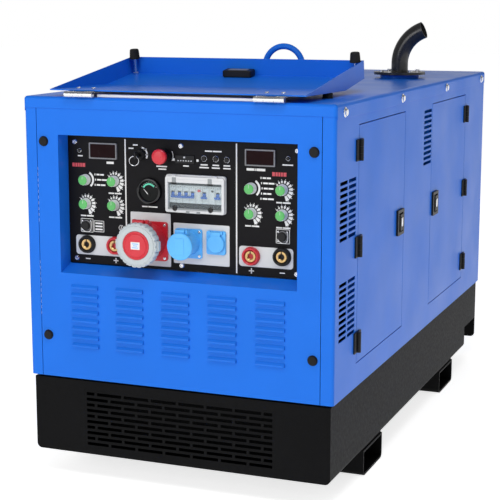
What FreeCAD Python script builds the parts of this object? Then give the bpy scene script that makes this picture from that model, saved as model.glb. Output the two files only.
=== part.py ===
"""Engine driven welder in a sound-proofed canopy, as a parametric FreeCAD document.

Frame: millimetres, +Z up, the machine's front faces -Y and its right side is +X.
The origin is on the floor under the middle of the machine's overall box.
"""
import FreeCAD, Part
import Sketcher
import math
import os

doc = FreeCAD.newDocument("engine_driven_welder")
sheet = doc.addObject("Spreadsheet::Sheet", "Sizes")


class Size:
    """A number that carries its own spreadsheet formula, so that properties can be bound to it."""

    def __init__(self, value, formula=None):
        self.value = float(value)
        self.formula = formula or f"{self.value:.6g}"

    def joined(self, other, sign, value):
        return Size(value, f"({self.formula} {sign} {size_of(other).formula})")

    def __add__(self, other):
        return self.joined(other, "+", self.value + size_of(other).value)

    def __sub__(self, other):
        return self.joined(other, "-", self.value - size_of(other).value)

    def __mul__(self, other):
        return self.joined(other, "*", self.value * size_of(other).value)

    def __truediv__(self, other):
        return self.joined(other, "/", self.value / size_of(other).value)

    def __radd__(self, other):
        return size_of(other) + self

    def __rsub__(self, other):
        return size_of(other) - self

    def __rmul__(self, other):
        return size_of(other) * self

    def __neg__(self):
        return size_of(0) - self


def size_of(number):
    return number if isinstance(number, Size) else Size(number)


next_row = 1


def dimension(alias, value):
    """Store one driving dimension in the sheet and return it as a Size."""
    global next_row
    cell = f"B{next_row}"
    sheet.set(f"A{next_row}", alias)
    sheet.set(cell, f"{value}")
    sheet.setAlias(cell, alias)
    next_row += 1
    return Size(value, f"Sizes.{alias}")


# ---------------------------------------------------------------- driving dimensions
canopy_width = dimension("canopy_width", 850)
canopy_length = dimension("canopy_length", 1680)
frame_shift = dimension("frame_shift", 20)
canopy_bottom = dimension("canopy_bottom", 279)
roof_top = dimension("roof_top", 1022)
roof_side_lip = dimension("roof_side_lip", 38)
roof_end_lip = dimension("roof_end_lip", 30)
roof_overhang = dimension("roof_overhang", 1.5)
skin = dimension("skin", 2)
seam_gap = dimension("seam_gap", 1.5)
post_width = dimension("post_width", 34)
post_round = dimension("post_round", 8)

base_inset = dimension("base_inset", 8)
base_wall = dimension("base_wall", 4)
base_top = dimension("base_top", 273)
skirt_bottom = dimension("skirt_bottom", 72)
skirt_notch_start = dimension("skirt_notch_start", 1509)
skirt_notch_top = dimension("skirt_notch_top", 143)
base_corner = dimension("base_corner", 14)
grille_half = dimension("grille_half", 263)
grille_bottom = dimension("grille_bottom", 97)
grille_low = dimension("grille_low", 91)
grille_high = dimension("grille_high", 249)
grille_row_step = dimension("grille_row_step", 15.3)
grille_slot_long = dimension("grille_slot_long", 71)
grille_slot_high = dimension("grille_slot_high", 8)
grille_slot_step = dimension("grille_slot_step", 78.7)

pocket_wide = dimension("pocket_wide", 180)
pocket_wall = dimension("pocket_wall", 6)
pocket_round = dimension("pocket_round", 14)
front_pocket_start = dimension("front_pocket_start", 294)
rear_pocket_start = dimension("rear_pocket_start", 1148)

recess_half = dimension("recess_half", 328)
recess_bottom = dimension("recess_bottom", 562)
recess_top = dimension("recess_top", 924)
recess_depth = dimension("recess_depth", 52)
ledge_rise = dimension("ledge_rise", 18)
panel_plate = dimension("panel_plate", 3)

louvre_step_x = dimension("louvre_step_x", 129.3)
louvre_step_z = dimension("louvre_step_z", 22.4)
louvre_wide = dimension("louvre_wide", 76.5)
louvre_high = dimension("louvre_high", 11.5)
louvre_top = dimension("louvre_top", 534)
hood_depth = dimension("hood_depth", 6)
hood_skin = dimension("hood_skin", 1.2)
outlet_top = dimension("outlet_top", 900)

door_bottom = dimension("door_bottom", 345)
door_top = dimension("door_top", 958)
door_depth = dimension("door_depth", 22)
door_gap = dimension("door_gap", 2.5)
front_door_start = dimension("front_door_start", 189)
front_door_end = dimension("front_door_end", 629)
rear_door_start = dimension("rear_door_start", 942)
rear_door_end = dimension("rear_door_end", 1389)
vent_high = dimension("vent_high", 9)
vent_step = dimension("vent_step", 15.4)

hinge_reach = dimension("hinge_reach", 6.5)
hinge_knuckle = dimension("hinge_knuckle", 6)
hinge_high = dimension("hinge_high", 54)
latch_wide = dimension("latch_wide", 65)
latch_high = dimension("latch_high", 72)
latch_low = dimension("latch_low", 617)
latch_pin = dimension("latch_pin", 1.5)
latch_knuckle = dimension("latch_knuckle", 3)
latch_pin_drop = dimension("latch_pin_drop", 15)
latch_pin_out = dimension("latch_pin_out", 5)

cover_half = dimension("cover_half", 348)
cover_long = dimension("cover_long", 478)
cover_deep = dimension("cover_deep", 49)
cover_taper = dimension("cover_taper", 309)
cover_tilt = dimension("cover_tilt", 7.8)
cover_hinge_forward = dimension("cover_hinge_forward", 11.2)
cover_hinge_up = dimension("cover_hinge_up", 7.6)
cover_knuckle = dimension("cover_knuckle", 7.5)
pin_play = dimension("pin_play", 0.06)

pipe_radius = dimension("pipe_radius", 26.5)
pipe_wall = dimension("pipe_wall", 2.5)
pipe_bend = dimension("pipe_bend", 113)
pipe_turn = dimension("pipe_turn", 68)
pipe_x = dimension("pipe_x", 257)
pipe_behind = dimension("pipe_behind", 1173)

eye_wire = dimension("eye_wire", 9)
eye_bend = dimension("eye_bend", 59)
eye_centre = dimension("eye_centre", 1071)
eye_behind = dimension("eye_behind", 799)

socket_bore = dimension("socket_bore", 6.6)
knob_radius = dimension("knob_radius", 14.5)
knob_long = dimension("knob_long", 21)
stop_stem = dimension("stop_stem", 8)
pole_pitch = dimension("pole_pitch", 18.25)
toggle_reach = dimension("toggle_reach", 12.2)

crank_height = dimension("crank_height", 560)

half = canopy_width / 2
front = frame_shift - canopy_length / 2
back = front + canopy_length
panel = front + recess_depth
doc.recompute()


# ---------------------------------------------------------------- building helpers
def bind(thing, name, size):
    """Give a property its value through the sheet where the size has a formula."""
    thing.setExpression(name, size_of(size).formula)


def put(thing, x, y, z, turn=None):
    """Place an object by its own origin, with an optional rotation."""
    if turn:
        thing.Placement = FreeCAD.Placement(FreeCAD.Vector(), turn)
    for letter, size in zip("xyz", (x, y, z)):
        bind(thing, f"Placement.Base.{letter}", size)
    return thing


def block(x, y, z):
    """A box from its (low, high) spans."""
    thing = doc.addObject("Part::Box", "block")
    for name, span in zip(("Length", "Width", "Height"), (x, y, z)):
        bind(thing, name, size_of(span[1]) - span[0])
    return put(thing, x[0], y[0], z[0])


TURNS = {
    "up": FreeCAD.Rotation(),
    "front": FreeCAD.Rotation(FreeCAD.Vector(1, 0, 0), 90),
    "back": FreeCAD.Rotation(FreeCAD.Vector(1, 0, 0), -90),
    "right": FreeCAD.Rotation(FreeCAD.Vector(0, 1, 0), 90),
    "profile": FreeCAD.Rotation(FreeCAD.Vector(1, 1, 1), 120),
}


def rod(radius, long, x, y, z, way):
    """A cylinder that starts at a point and runs the named way."""
    thing = doc.addObject("Part::Cylinder", "rod")
    bind(thing, "Radius", radius)
    bind(thing, "Height", long)
    return put(thing, x, y, z, TURNS[way])


def cone(start_radius, end_radius, long, x, y, z, way):
    thing = doc.addObject("Part::Cone", "cone")
    bind(thing, "Radius1", start_radius)
    bind(thing, "Radius2", end_radius)
    bind(thing, "Height", long)
    return put(thing, x, y, z, TURNS[way])


def prism(points, low, high, turn):
    """Extrude a closed outline; its corners are Sizes in the outline's own plane."""
    outline = doc.addObject("Sketcher::SketchObject", "outline")
    draw_outline(outline, points)
    outline.Placement = FreeCAD.Placement(FreeCAD.Vector(), turn)
    thing = doc.addObject("Part::Extrusion", "prism")
    thing.Base = outline
    thing.DirMode = "Normal"
    thing.Solid = True
    bind(thing, "LengthFwd", high)
    bind(thing, "LengthRev", -size_of(low))
    return thing


def draw_outline(outline, points):
    """Draw straight edges between corners and pin each corner to the sheet's sizes."""
    places = [FreeCAD.Vector(size_of(u).value, size_of(v).value, 0) for u, v in points]
    count = len(places)
    for number in range(count):
        line = Part.LineSegment(places[number], places[(number + 1) % count])
        outline.addGeometry(line, False)
    for number in range(count):
        outline.addConstraint(Sketcher.Constraint("Coincident", number, 2, (number + 1) % count, 1))
    for number, corner in enumerate(points):
        for kind, size in zip(("DistanceX", "DistanceY"), corner):
            size = size_of(size)
            place = outline.addConstraint(Sketcher.Constraint(kind, -1, 1, number, 1, size.value))
            outline.setExpression(f"Constraints[{place}]", size.formula)


def cut(base, *tools):
    """Take tools, which may overlap each other, out of a base."""
    thing = doc.addObject("Part::Cut", "cut")
    thing.Base = base
    thing.Tool = tools[0] if len(tools) == 1 else fuse(*tools)
    return thing


def fuse(*pieces):
    thing = doc.addObject("Part::MultiFuse", "fuse")
    thing.Shapes = list(pieces)
    return thing


def group(pieces):
    """Separate solids kept as one sub-part."""
    thing = doc.addObject("Part::Compound", "group")
    thing.Links = list(pieces)
    return thing


def common(first, second):
    thing = doc.addObject("Part::MultiCommon", "common")
    thing.Shapes = [first, second]
    return thing


def rounded(base, radius, chosen):
    """Fillet the straight or round edges that the chooser accepts."""
    doc.recompute()
    edges = [number for number, edge in enumerate(base.Shape.Edges, 1) if chosen(edge)]
    thing = doc.addObject("Part::Fillet", "rounded")
    thing.Base = base
    thing.Edges = [(number, size_of(radius).value, size_of(radius).value) for number in edges]
    return thing


def along(axis):
    """A chooser for straight edges that run along one axis."""
    def chosen(edge):
        if not isinstance(edge.Curve, Part.Line):
            return False
        return abs(getattr(edge.Curve.Direction, axis)) > 0.999
    return chosen


def rims_at(axis, size):
    """A chooser for edges that lie wholly at one place along an axis."""
    place = size_of(size).value

    def chosen(edge):
        return all(abs(getattr(vertex.Point, axis) - place) < 0.01 for vertex in edge.Vertexes)
    return chosen


def mirrored(base):
    """The same piece on the machine's left side."""
    thing = doc.addObject("Part::Mirroring", "mirrored")
    thing.Source = base
    thing.Normal = FreeCAD.Vector(1, 0, 0)
    return thing


nodes = []


def node(thing, label):
    """Name a finished sub-part; its label is its file name too."""
    thing.Label = label
    nodes.append(thing)
    return thing


# ---------------------------------------------------------------- skid base
def grille_slots():
    """Slots of the front air inlet, laid like bricks and trimmed to the inlet's width."""
    slots = []
    for row in range(10):
        low = grille_bottom + grille_row_step * row
        shift = 0.5 if row % 2 else 0
        for column in range(-4, 4):
            middle = grille_slot_step * (column + shift + 0.0001)
            left = middle - grille_slot_long / 2
            slots.append(block((left, left + grille_slot_long),
                               (front, front + 30), (low, low + grille_slot_high)))
    window = block((-grille_half, grille_half), (front, front + 30), (skirt_bottom, base_top))
    return common(group(slots), window)


def base_frame():
    outer = half - base_inset
    near = front + 5
    far = back - 5
    shell = block((-outer, outer), (near, far), (skirt_bottom, base_top))
    shell = rounded(shell, base_corner, lambda edge: along("y")(edge) and edge.CenterOfMass.z < 100)
    inside = block((base_wall - outer, outer - base_wall), (near + base_wall, far - base_wall),
                   (skirt_bottom - 1, base_top - base_wall))
    notch = block((-outer - 1, outer + 1), (front + skirt_notch_start, far - base_wall - 6),
                  (skirt_bottom - 1, skirt_notch_top))
    inlet = block((-grille_half - 6, grille_half + 6), (front, front + 30), (grille_low, grille_high))
    step_out = block((-half + 16, half - 16), (front + 16, back - 16), (base_top, canopy_bottom))
    step_in = block((-half + 40, half - 40), (front + 40, back - 40), (base_top - 1, canopy_bottom + 1))
    bearers = [block((-outer + base_wall, outer - base_wall), (start, start + pocket_wide),
                     (skirt_bottom, skirt_bottom + pocket_wall))
               for start in (front + front_pocket_start, front + rear_pocket_start)]
    baffle = block((base_wall - outer, outer - base_wall), (front + 120, front + 123),
                   (skirt_bottom + 10, base_top - base_wall))
    tray = block((base_wall - outer, outer - base_wall), (near + base_wall, front + 123),
                 (skirt_bottom + 10, skirt_bottom + 13))
    walls = cut(shell, inside, notch, inlet)
    return node(fuse(walls, cut(step_out, step_in), baffle, tray, *bearers), "base_frame")


def inlet_grille():
    """The slotted plate let into the skid's front wall."""
    plate = block((-grille_half - 6, grille_half + 6), (front + 5, front + 5 + base_wall),
                  (grille_low, grille_high))
    return node(cut(plate, grille_slots()), "inlet_grille")


def fork_pocket(start):
    """A rectangular tube across the machine for a fork-lift tine."""
    outer = half - base_inset
    tube = block((-outer, outer), (start, start + pocket_wide), (0, skirt_bottom))
    tube = rounded(tube, pocket_round, lambda edge: along("x")(edge) and edge.CenterOfMass.z < 1)
    room = block((-outer - 1, outer + 1), (start + pocket_wall, start + pocket_wide - pocket_wall),
                 (pocket_wall, skirt_bottom - pocket_wall))
    return cut(tube, room)


def fork_pockets():
    starts = (front + front_pocket_start, front + rear_pocket_start)
    return node(group([fork_pocket(start) for start in starts]), "fork_pockets")


# ---------------------------------------------------------------- canopy panels
def vent_stack(start, long, low, rows):
    """A column of horizontal slots through a side panel."""
    return [block((half - skin - 1, half + 1), (start, start + long),
                  (low + vent_step * row, low + vent_step * row + vent_high))
            for row in range(rows)]


def door_way(start, end):
    """The jamb and stop around a door, and the hole through it."""
    low = front + start
    high = front + end
    jamb = block((half - door_depth - 4, half), (low - door_gap - skin, high + door_gap + skin),
                 (door_bottom - door_gap - skin, door_top + door_gap + skin))
    leaf_room = block((half - door_depth - 2, half + 1), (low - door_gap, high + door_gap),
                      (door_bottom - door_gap, door_top + door_gap))
    way_in = block((half - door_depth - 5, half + 1), (low + 15, high - 15),
                   (door_bottom + 15, door_top - 15))
    return cut(jamb, leaf_room, way_in), leaf_room


def side_sheet():
    """The flat side with its folded ends, which form the corner posts."""
    height = (canopy_bottom, roof_top - 22)
    inner = half - post_width
    bends = lambda edge: along("z")(edge) and edge.CenterOfMass.x > half.value - 5
    outside = rounded(block((inner, half), (front, back), height), post_round, bends)
    room = block((inner - 1, half - skin), (front + skin, back - skin), (canopy_bottom + skin, roof_top))
    room = rounded(room, size_of(post_round) - skin, bends)
    foot_gap = block((inner - 1, half - 24), (front + skin, back - skin),
                     (canopy_bottom - 1, canopy_bottom + skin + 1))
    return cut(outside, room, foot_gap)


def side_vents(with_middle):
    slots = []
    for low in (683, 430):
        for start in (front + 36, front + 106):
            slots += vent_stack(start, 61, low, 10)
    if with_middle:
        slots += vent_stack(front + 844, 89, 783, 11)
    return slots


def right_side_panel():
    panel_sheet = side_sheet()
    jambs, rooms = [], []
    for start, end in ((front_door_start, front_door_end), (rear_door_start, rear_door_end)):
        jamb, room = door_way(start, end)
        jambs.append(jamb)
        rooms.append(room)
    opened = cut(panel_sheet, group(side_vents(True) + rooms))
    return node(fuse(opened, *jambs), "right_side_panel")


def left_side_panel():
    """Plain bolted side with the same air slots, and a second pair towards the rear."""
    slots = side_vents(True)
    for start in (front + 1513, front + 1583):
        slots += vent_stack(start, 61, 683, 10)
    return node(mirrored(cut(side_sheet(), group(slots))), "left_side_panel")


def repeated(pattern, x, z):
    """A link to a finished piece, moved across and up."""
    thing = doc.addObject("App::Link", "repeat")
    thing.LinkedObject = pattern
    return put(thing, x, 0, z)


def louvres(rows, columns, top, face, outwards):
    """Slots of a louvre field and the hoods pressed out over them, open at the bottom."""
    wide = louvre_wide / 2
    shoulder = -0.55 * louvre_high
    brow = -0.8 * louvre_high
    lintel = hood_skin * 1.6
    outer_shoulder = face + outwards * hood_depth * 0.85
    outer_lip = face + outwards * hood_depth
    inner_shoulder = face + outwards * (hood_depth * 0.85 - hood_skin)
    inner_lip = face + outwards * (hood_depth - hood_skin)
    behind = face - outwards * skin
    outside = [(face, 0), (outer_shoulder, shoulder), (outer_lip, brow), (outer_lip, -louvre_high),
               (face, -louvre_high)]
    inside = [(behind, -lintel), (inner_shoulder, shoulder), (inner_lip, brow),
              (inner_lip, -louvre_high - 1), (behind, -louvre_high - 1)]
    bulge = prism(outside, -wide, wide, TURNS["profile"])
    room = prism(inside, hood_skin - wide, wide - hood_skin, TURNS["profile"])
    hood = cut(bulge, room)
    slots, hoods = [], []
    for row in range(rows):
        high = top - louvre_step_z * row
        for column in range(columns):
            middle = louvre_step_x * (column - (columns - 1) / 2)
            slots.append(block((middle - wide + hood_skin, middle + wide - hood_skin), (face - 3, face + 3),
                               (high - louvre_high, high - lintel)))
            hoods.append(repeated(hood, middle, high))
    return slots, hoods


def front_panel():
    edge = half - post_width - seam_gap
    height = (canopy_bottom, roof_top - 22)
    plate = block((-edge, edge), (front, front + skin), height)
    way_in = block((-recess_half, recess_half), (front - 1, front + skin + 1), (recess_bottom, recess_top))
    slots, hoods = louvres(8, 5, louvre_top, front, -1)
    outer = recess_half + skin
    walls = block((-outer, outer), (front, panel), (recess_bottom - skin, recess_top + skin))
    hollow = [(front - 1, recess_bottom - 0.2), (panel + 1, recess_bottom + ledge_rise),
              (panel + 1, recess_top), (front - 1, recess_top)]
    hollow = prism(hollow, -recess_half, recess_half, TURNS["profile"])
    under = [(front + skin + 0.5, recess_bottom - skin - 1), (panel + 1, recess_bottom - skin - 1),
             (panel + 1, recess_bottom + ledge_rise - skin)]
    under = prism(under, -outer - 1, outer + 1, TURNS["profile"])
    opened = cut(plate, group(slots + [way_in]))
    return node(fuse(opened, cut(walls, hollow, under), *hoods), "front_panel")


def rear_panel():
    """Radiator air outlet: a tall louvre field."""
    edge = half - post_width - seam_gap
    plate = block((-edge, edge), (back - skin, back), (canopy_bottom, roof_top - 22))
    slots, hoods = louvres(20, 4, outlet_top, back, 1)
    return node(fuse(cut(plate, group(slots)), *hoods), "rear_panel")


def roof():
    wide = half + roof_overhang
    ends = (front - roof_overhang, back + roof_overhang)
    bottom = roof_top - roof_side_lip
    cap = block((-wide, wide), ends, (bottom, roof_top))
    cap = rounded(cap, 9, lambda edge: edge.CenterOfMass.z > bottom.value + 1)
    inside = block((skin - wide - 0.6, wide - skin + 0.6),
                   (ends[0] + skin - 0.6, ends[1] - skin + 0.6), (bottom - 1, roof_top - skin))
    inside = rounded(inside, 7.5, lambda edge: edge.CenterOfMass.z > bottom.value + 1)
    end_cut = block((skin - wide, wide - skin), (ends[0] - 1, ends[1] + 1),
                    (bottom - 1, roof_top - roof_end_lip))
    pipe_y = front + pipe_behind
    collar = rod(61, 13, pipe_x, pipe_y, roof_top - 1, "up")
    pipe_hole = rod(pipe_radius + 4, 40, pipe_x, pipe_y, roof_top - 10, "up")
    eye_holes = [rod(eye_wire + 0.5, 40, way * eye_bend, front + eye_behind, roof_top - 10, "up")
                 for way in (-1, 1)]
    shell = cut(cap, inside, end_cut)
    return node(cut(fuse(shell, collar), pipe_hole, *eye_holes), "roof")


def lifting_eye():
    """Bail of round bar whose legs go through the roof to a cross beam."""
    place = front + eye_behind
    bow = doc.addObject("Part::Torus", "bow")
    bind(bow, "Radius1", eye_bend)
    bind(bow, "Radius2", eye_wire)
    bow.Angle3 = 180
    put(bow, 0, place, eye_centre, TURNS["front"])
    legs = [rod(eye_wire, eye_centre - 930, way * eye_bend, place, 930, "up") for way in (-1, 1)]
    beam = block((-110, 110), (place - 20, place + 20), (922, 934))
    return node(fuse(bow, beam, *legs), "lifting_eye")


def exhaust_bend(radius, start_height, bend_height, tail):
    """Straight pipe, then one bend to the right, then a short straight tail."""
    pipe_y = front + pipe_behind
    straight = rod(radius, bend_height - start_height, pipe_x, pipe_y, start_height, "up")
    bow = doc.addObject("Part::Torus", "bow")
    bind(bow, "Radius1", pipe_bend)
    bind(bow, "Radius2", radius)
    bind(bow, "Angle3", pipe_turn)
    flip = FreeCAD.Rotation(FreeCAD.Vector(0, 0, 1), 180)
    put(bow, pipe_x + pipe_bend, pipe_y, bend_height,
        FreeCAD.Rotation(FreeCAD.Vector(1, 0, 0), -90) * flip)
    end = doc.addObject("Part::Cylinder", "tail")
    bind(end, "Radius", radius)
    bind(end, "Height", tail)
    turn = math.radians(pipe_turn.value)
    put(end, pipe_x + pipe_bend * (1 - math.cos(turn)), pipe_y,
        bend_height + pipe_bend * math.sin(turn),
        FreeCAD.Rotation(FreeCAD.Vector(0, 1, 0), pipe_turn.value))
    return [straight, bow, end]


def exhaust_pipe():
    flange = rod(81.5, 8, pipe_x, front + pipe_behind, roof_top + 12, "up")
    bend_height = roof_top + 45
    outside = exhaust_bend(pipe_radius, size_of(965), bend_height, 6)
    inside = exhaust_bend(pipe_radius - pipe_wall, size_of(964), bend_height, 7)
    return node(cut(fuse(flange, *outside), *inside), "exhaust_pipe")


def hex_bolt(x, y, z, way, flange_radius, head_radius, head_high):
    """A flanged hexagon head lying on a surface."""
    thing = doc.addObject("Part::Prism", "hexagon")
    thing.Polygon = 6
    bind(thing, "Circumradius", head_radius)
    bind(thing, "Height", head_high)
    put(thing, x, y, z, TURNS[way])
    return fuse(rod(flange_radius, 1.8, x, y, z, way), thing)


def fasteners():
    """Roof bolts, exhaust flange bolts and the control panel's screws."""
    pieces = []
    for behind in (63, 589, 1108, 1616):
        bolt = hex_bolt(half + roof_overhang, front + behind, 999, "right", 8.5, 7, 6)
        pieces += [bolt, mirrored(bolt)]
    for quarter in range(4):
        turn = math.radians(45 + 90 * quarter)
        pieces.append(hex_bolt(pipe_x + 66 * math.cos(turn), front + pipe_behind + 66 * math.sin(turn),
                               roof_top + 20, "up", 8.5, 7, 6))
    for x in (-308, -4, 309):
        for z in (902, 594):
            head = cone(7.5, 5.2, 3.2, x, panel, z, "front")
            dimple = cone(2.6, 3.4, 2, x, panel - 1.6, z, "front")
            pieces.append(cut(head, dimple))
    return node(group(pieces), "fasteners")


def rubber_stops():
    """Plugs in the front panel and the buffers that carry the open cover."""
    pieces = []
    for x in (-370, 370):
        for z in (906, 391):
            pieces.append(cone(13.5, 11, 6, x, front, z, "front"))
        side = 340 if x > 0 else -340
        pieces.append(cone(14, 12.5, 13.2, side, front + 190, roof_top, "up"))
    return node(group(pieces), "rubber_stops")


# ---------------------------------------------------------------- front cover
cover_hinge_y = front - cover_hinge_forward
cover_hinge_z = roof_top + cover_hinge_up
cover_edge_y = front + 0.8
cover_edge_z = roof_top + 19
TILT = FreeCAD.Rotation(FreeCAD.Vector(1, 0, 0), cover_tilt.value)


def on_cover(thing):
    """Lay a piece built in the cover's own flat frame at the cover's place."""
    thing.Placement = FreeCAD.Placement(FreeCAD.Vector(), TILT)
    for letter, size in zip("xyz", (size_of(0), cover_edge_y, cover_edge_z)):
        bind(thing, f"Placement.Base.{letter}", size)
    return thing


def cover():
    """Folded lid with side flanges, shallow at its hinge and deep at its free end."""
    outside = [(0, 0), (cover_long, 0), (cover_long, -cover_deep), (cover_taper, -cover_deep), (0, -3)]
    inside = [(3, 1), (cover_long - skin, 1), (cover_long - skin, skin - cover_deep),
              (cover_taper, skin - cover_deep), (3, skin - 3.2)]
    shell = prism(outside, -cover_half, cover_half, TURNS["profile"])
    room = prism(inside, skin - cover_half, cover_half - skin, TURNS["profile"])
    return node(on_cover(cut(shell, room)), "cover")


def cover_handle():
    """Moulded latch box inside the free end of the cover."""
    x = (-52, 34)
    box = block(x, (cover_long - 40, cover_long - skin - 0.3), (skin - cover_deep, skin - cover_deep + 20))
    box = rounded(box, 4, lambda edge: edge.CenterOfMass.z > -30)
    grip = block((-40, 22), (cover_long - 33, cover_long - 14), (skin - cover_deep + 12, -20))
    return node(on_cover(cut(box, grip)), "cover_handle")


def cover_bumpers():
    """Rubber cones on studs that hold the closed cover off the panel."""
    pieces = []
    for x in (-329, 329):
        floor = skin - cover_deep
        stud = rod(5, 46, x, cover_long - 18, floor, "up")
        rubber = cone(15, 12, 27, x, cover_long - 18, -2, "up")
        pieces.append(fuse(stud, rubber))
    return node(on_cover(group(pieces)), "cover_bumpers")


def cover_hinges():
    """Two butt hinges: the fixed leaves carry the pins, the other leaves swing with the cover."""
    fixed, moving = [], []
    for left in (-298, 219):
        for start, end in ((left, left + 26), (left + 53, left + 79)):
            fixed.append(rod(cover_knuckle, end - start, start, cover_hinge_y, cover_hinge_z, "right"))
        fixed.append(rod(3, 79, left, cover_hinge_y, cover_hinge_z, "right"))
        for start, end in ((left, left + 26), (left + 53, left + 79)):
            fixed.append(block((start, end), (cover_hinge_y, front + 30), (roof_top, roof_top + 2.4)))
        fixed.append(block((left, left + 79), (front, front + 30), (roof_top, roof_top + 2.4)))
        middle = (left + 26.4, left + 52.6)
        knuckle = rod(cover_knuckle, 26.2, middle[0], cover_hinge_y, cover_hinge_z, "right")
        web = block(middle, (cover_hinge_y, cover_hinge_y + 14), (cover_hinge_z + 5.4, cover_hinge_z + 7.5))
        leaf = block((left, left + 79), (cover_hinge_y + 12, cover_hinge_y + 46),
                     (cover_hinge_z + 5.4, cover_hinge_z + 7.5))
        bore = rod(3 + pin_play, 79, left, cover_hinge_y, cover_hinge_z, "right")
        moving.append(cut(fuse(knuckle, web, leaf), bore))
    groups = [fuse(*fixed[:6]), fuse(*fixed[6:])]
    node(group(groups), "cover_hinge_frames")
    node(group(moving), "cover_hinge_leaves")


# ---------------------------------------------------------------- side doors
DOORS = {
    "front": (front_door_start, front_door_end, 1),
    "rear": (rear_door_end, rear_door_start, -1),
}


def door_parts(name, hinged_edge, free_edge, way):
    """A folded door, its black hinge leaves and latch bezel, and the chrome latch handle.

    way is +1 where the door runs backwards from its hinges and -1 where it runs forwards.
    """
    low = front + (hinged_edge if way > 0 else free_edge)
    high = front + (free_edge if way > 0 else hinged_edge)
    pan = block((half - door_depth, half), (low, high), (door_bottom, door_top))
    room = block((half - door_depth - 1, half - skin), (low + skin, high - skin),
                 (door_bottom + skin, door_top - skin))
    leaf = node(cut(pan, room), f"door_{name}")
    axis_x = half + hinge_reach
    axis_y = front + hinged_edge - way * (door_gap / 2)
    fittings = []
    for middle in (896, 650, 400):
        knuckle = rod(hinge_knuckle, 17.6, axis_x, axis_y, middle - 8.8, "up")
        web = block((half, half + 4), ordered(axis_y, axis_y + 8 * way), (middle - 8.8, middle + 8.8))
        plate = block((half, half + 4), ordered(axis_y + 7 * way, axis_y + 27 * way),
                      (middle - hinge_high / 2, middle + hinge_high / 2))
        bore = rod(2.5 + pin_play, 20, axis_x, axis_y, middle - 10, "up")
        fittings.append(cut(fuse(knuckle, web, plate), bore))
    bezel_far = front + free_edge - way * 12
    bezel_near = bezel_far - way * latch_wide
    bezel = block((half, half + 6), ordered(bezel_near, bezel_far), (latch_low, latch_low + latch_high))
    bezel = rounded(bezel, 4, along("x"))
    dish = block((half + 1.5, half + 7), ordered(bezel_near + 12 * way, bezel_far - 12 * way),
                 (latch_low + 9, latch_low + latch_high - 9))
    pin_z = latch_low + latch_high - latch_pin_drop
    pin_x = half + latch_pin_out
    pin = rod_along_y(latch_pin, bezel_near + 11 * way, bezel_far - 11 * way, pin_x, pin_z)
    fittings.append(fuse(cut(bezel, dish), pin))
    node(group(fittings), f"door_{name}_fittings")
    paddle_ends = (bezel_near + 20 * way, bezel_far - 20 * way)
    paddle = block((pin_x - latch_knuckle, pin_x + latch_knuckle), ordered(*paddle_ends),
                   (latch_low + 12, pin_z))
    paddle = rounded(paddle, 2, lambda edge: edge.CenterOfMass.z < latch_low.value + 13)
    knuckle = rod_along_y(latch_knuckle, *paddle_ends, pin_x, pin_z)
    bore = rod_along_y(latch_pin + pin_play, bezel_near + 19 * way, bezel_far - 19 * way, pin_x, pin_z)
    node(cut(fuse(paddle, knuckle), bore), f"door_{name}_latch")
    return leaf


def ordered(first, second):
    return (first, second) if first.value < second.value else (second, first)


def rod_along_y(radius, first, second, x, z):
    near, far = ordered(first, second)
    return rod(radius, far - near, x, near, z, "back")


def door_hinge_frames():
    """The half of each door hinge that stays on the canopy, with its pin."""
    pieces = []
    for hinged_edge, _, way in DOORS.values():
        axis_x = half + hinge_reach
        axis_y = front + hinged_edge - way * (door_gap / 2)
        for middle in (896, 650, 400):
            parts = [rod(2.5, hinge_high, axis_x, axis_y, middle - hinge_high / 2, "up")]
            low_end, high_end = middle - hinge_high / 2, middle + hinge_high / 2
            for low, high in ((low_end, middle - 9.2), (middle + 9.2, high_end)):
                parts.append(rod(hinge_knuckle, size_of(high) - low, axis_x, axis_y, low, "up"))
                parts.append(block((half, half + 4), ordered(axis_y, axis_y - 8 * way), (low, high)))
            parts.append(block((half, half + 4), ordered(axis_y - 7 * way, axis_y - 27 * way),
                               (middle - hinge_high / 2, middle + hinge_high / 2)))
            pieces.append(fuse(*parts))
    return node(group(pieces), "door_hinge_frames")


# ---------------------------------------------------------------- control panel
LEVER_SLOTS = {
    "main_breaker_toggle": (-30, 36),
    "left_breaker_toggle": (53, 71),
    "right_breaker_toggle": (90, 108),
}
WELD_SOCKETS = ((-275, 633), (-193, 634), (188, 632), (271, 636))
GAUGE = (-93, 783)
ESTOP = (-50, 876)
IGNITION = (-117, 876)
KNOBS = {
    "left_process_selector": (-277, 804),
    "left_current_knob": (-194, 804),
    "left_arc_force_knob": (-277, 741),
    "left_hot_start_knob": (-194, 741),
    "right_process_selector": (188, 804),
    "right_current_knob": (271, 804),
    "right_arc_force_knob": (188, 741),
    "right_hot_start_knob": (271, 741),
}


def control_panel():
    edge = recess_half - 0.5
    plate = block((-edge, edge), (panel, panel + panel_plate),
                  (recess_bottom + ledge_rise + 2, recess_top - 0.5))
    window = block((-36, 114), (panel - 1, panel + 5), (757, 804))
    holes = [rod(15, 10, x, panel - 2, z, "back") for x, z in WELD_SOCKETS]
    holes.append(rod(stop_stem + 1.5, 10, ESTOP[0], panel - 2, ESTOP[1], "back"))
    return node(cut(plate, window, *holes), "control_panel")


def panel_meters():
    """Two digital meters, the hour meter and the round fuel gauge."""
    pieces = []
    for left, right, low, high, proud in ((-264, -184, 860, 902, 4), (172, 252, 860, 902, 4),
                                          (-19, 34, 858, 879, 3)):
        bezel = block((left, right), (panel - proud, panel), (low, high))
        glass = block((left + 3, right - 3), (panel - proud - 1, panel - proud + 1), (low + 3, high - 3))
        pieces.append(cut(bezel, glass))
    ring = rod(34.5, 9, GAUGE[0], panel, GAUGE[1], "front")
    ring = rounded(ring, 3, rims_at("y", panel - 9))
    face = rod(27, 5, GAUGE[0], panel - 6, GAUGE[1], "front")
    pieces.append(cut(ring, face))
    return node(group(pieces), "panel_meters")


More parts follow.
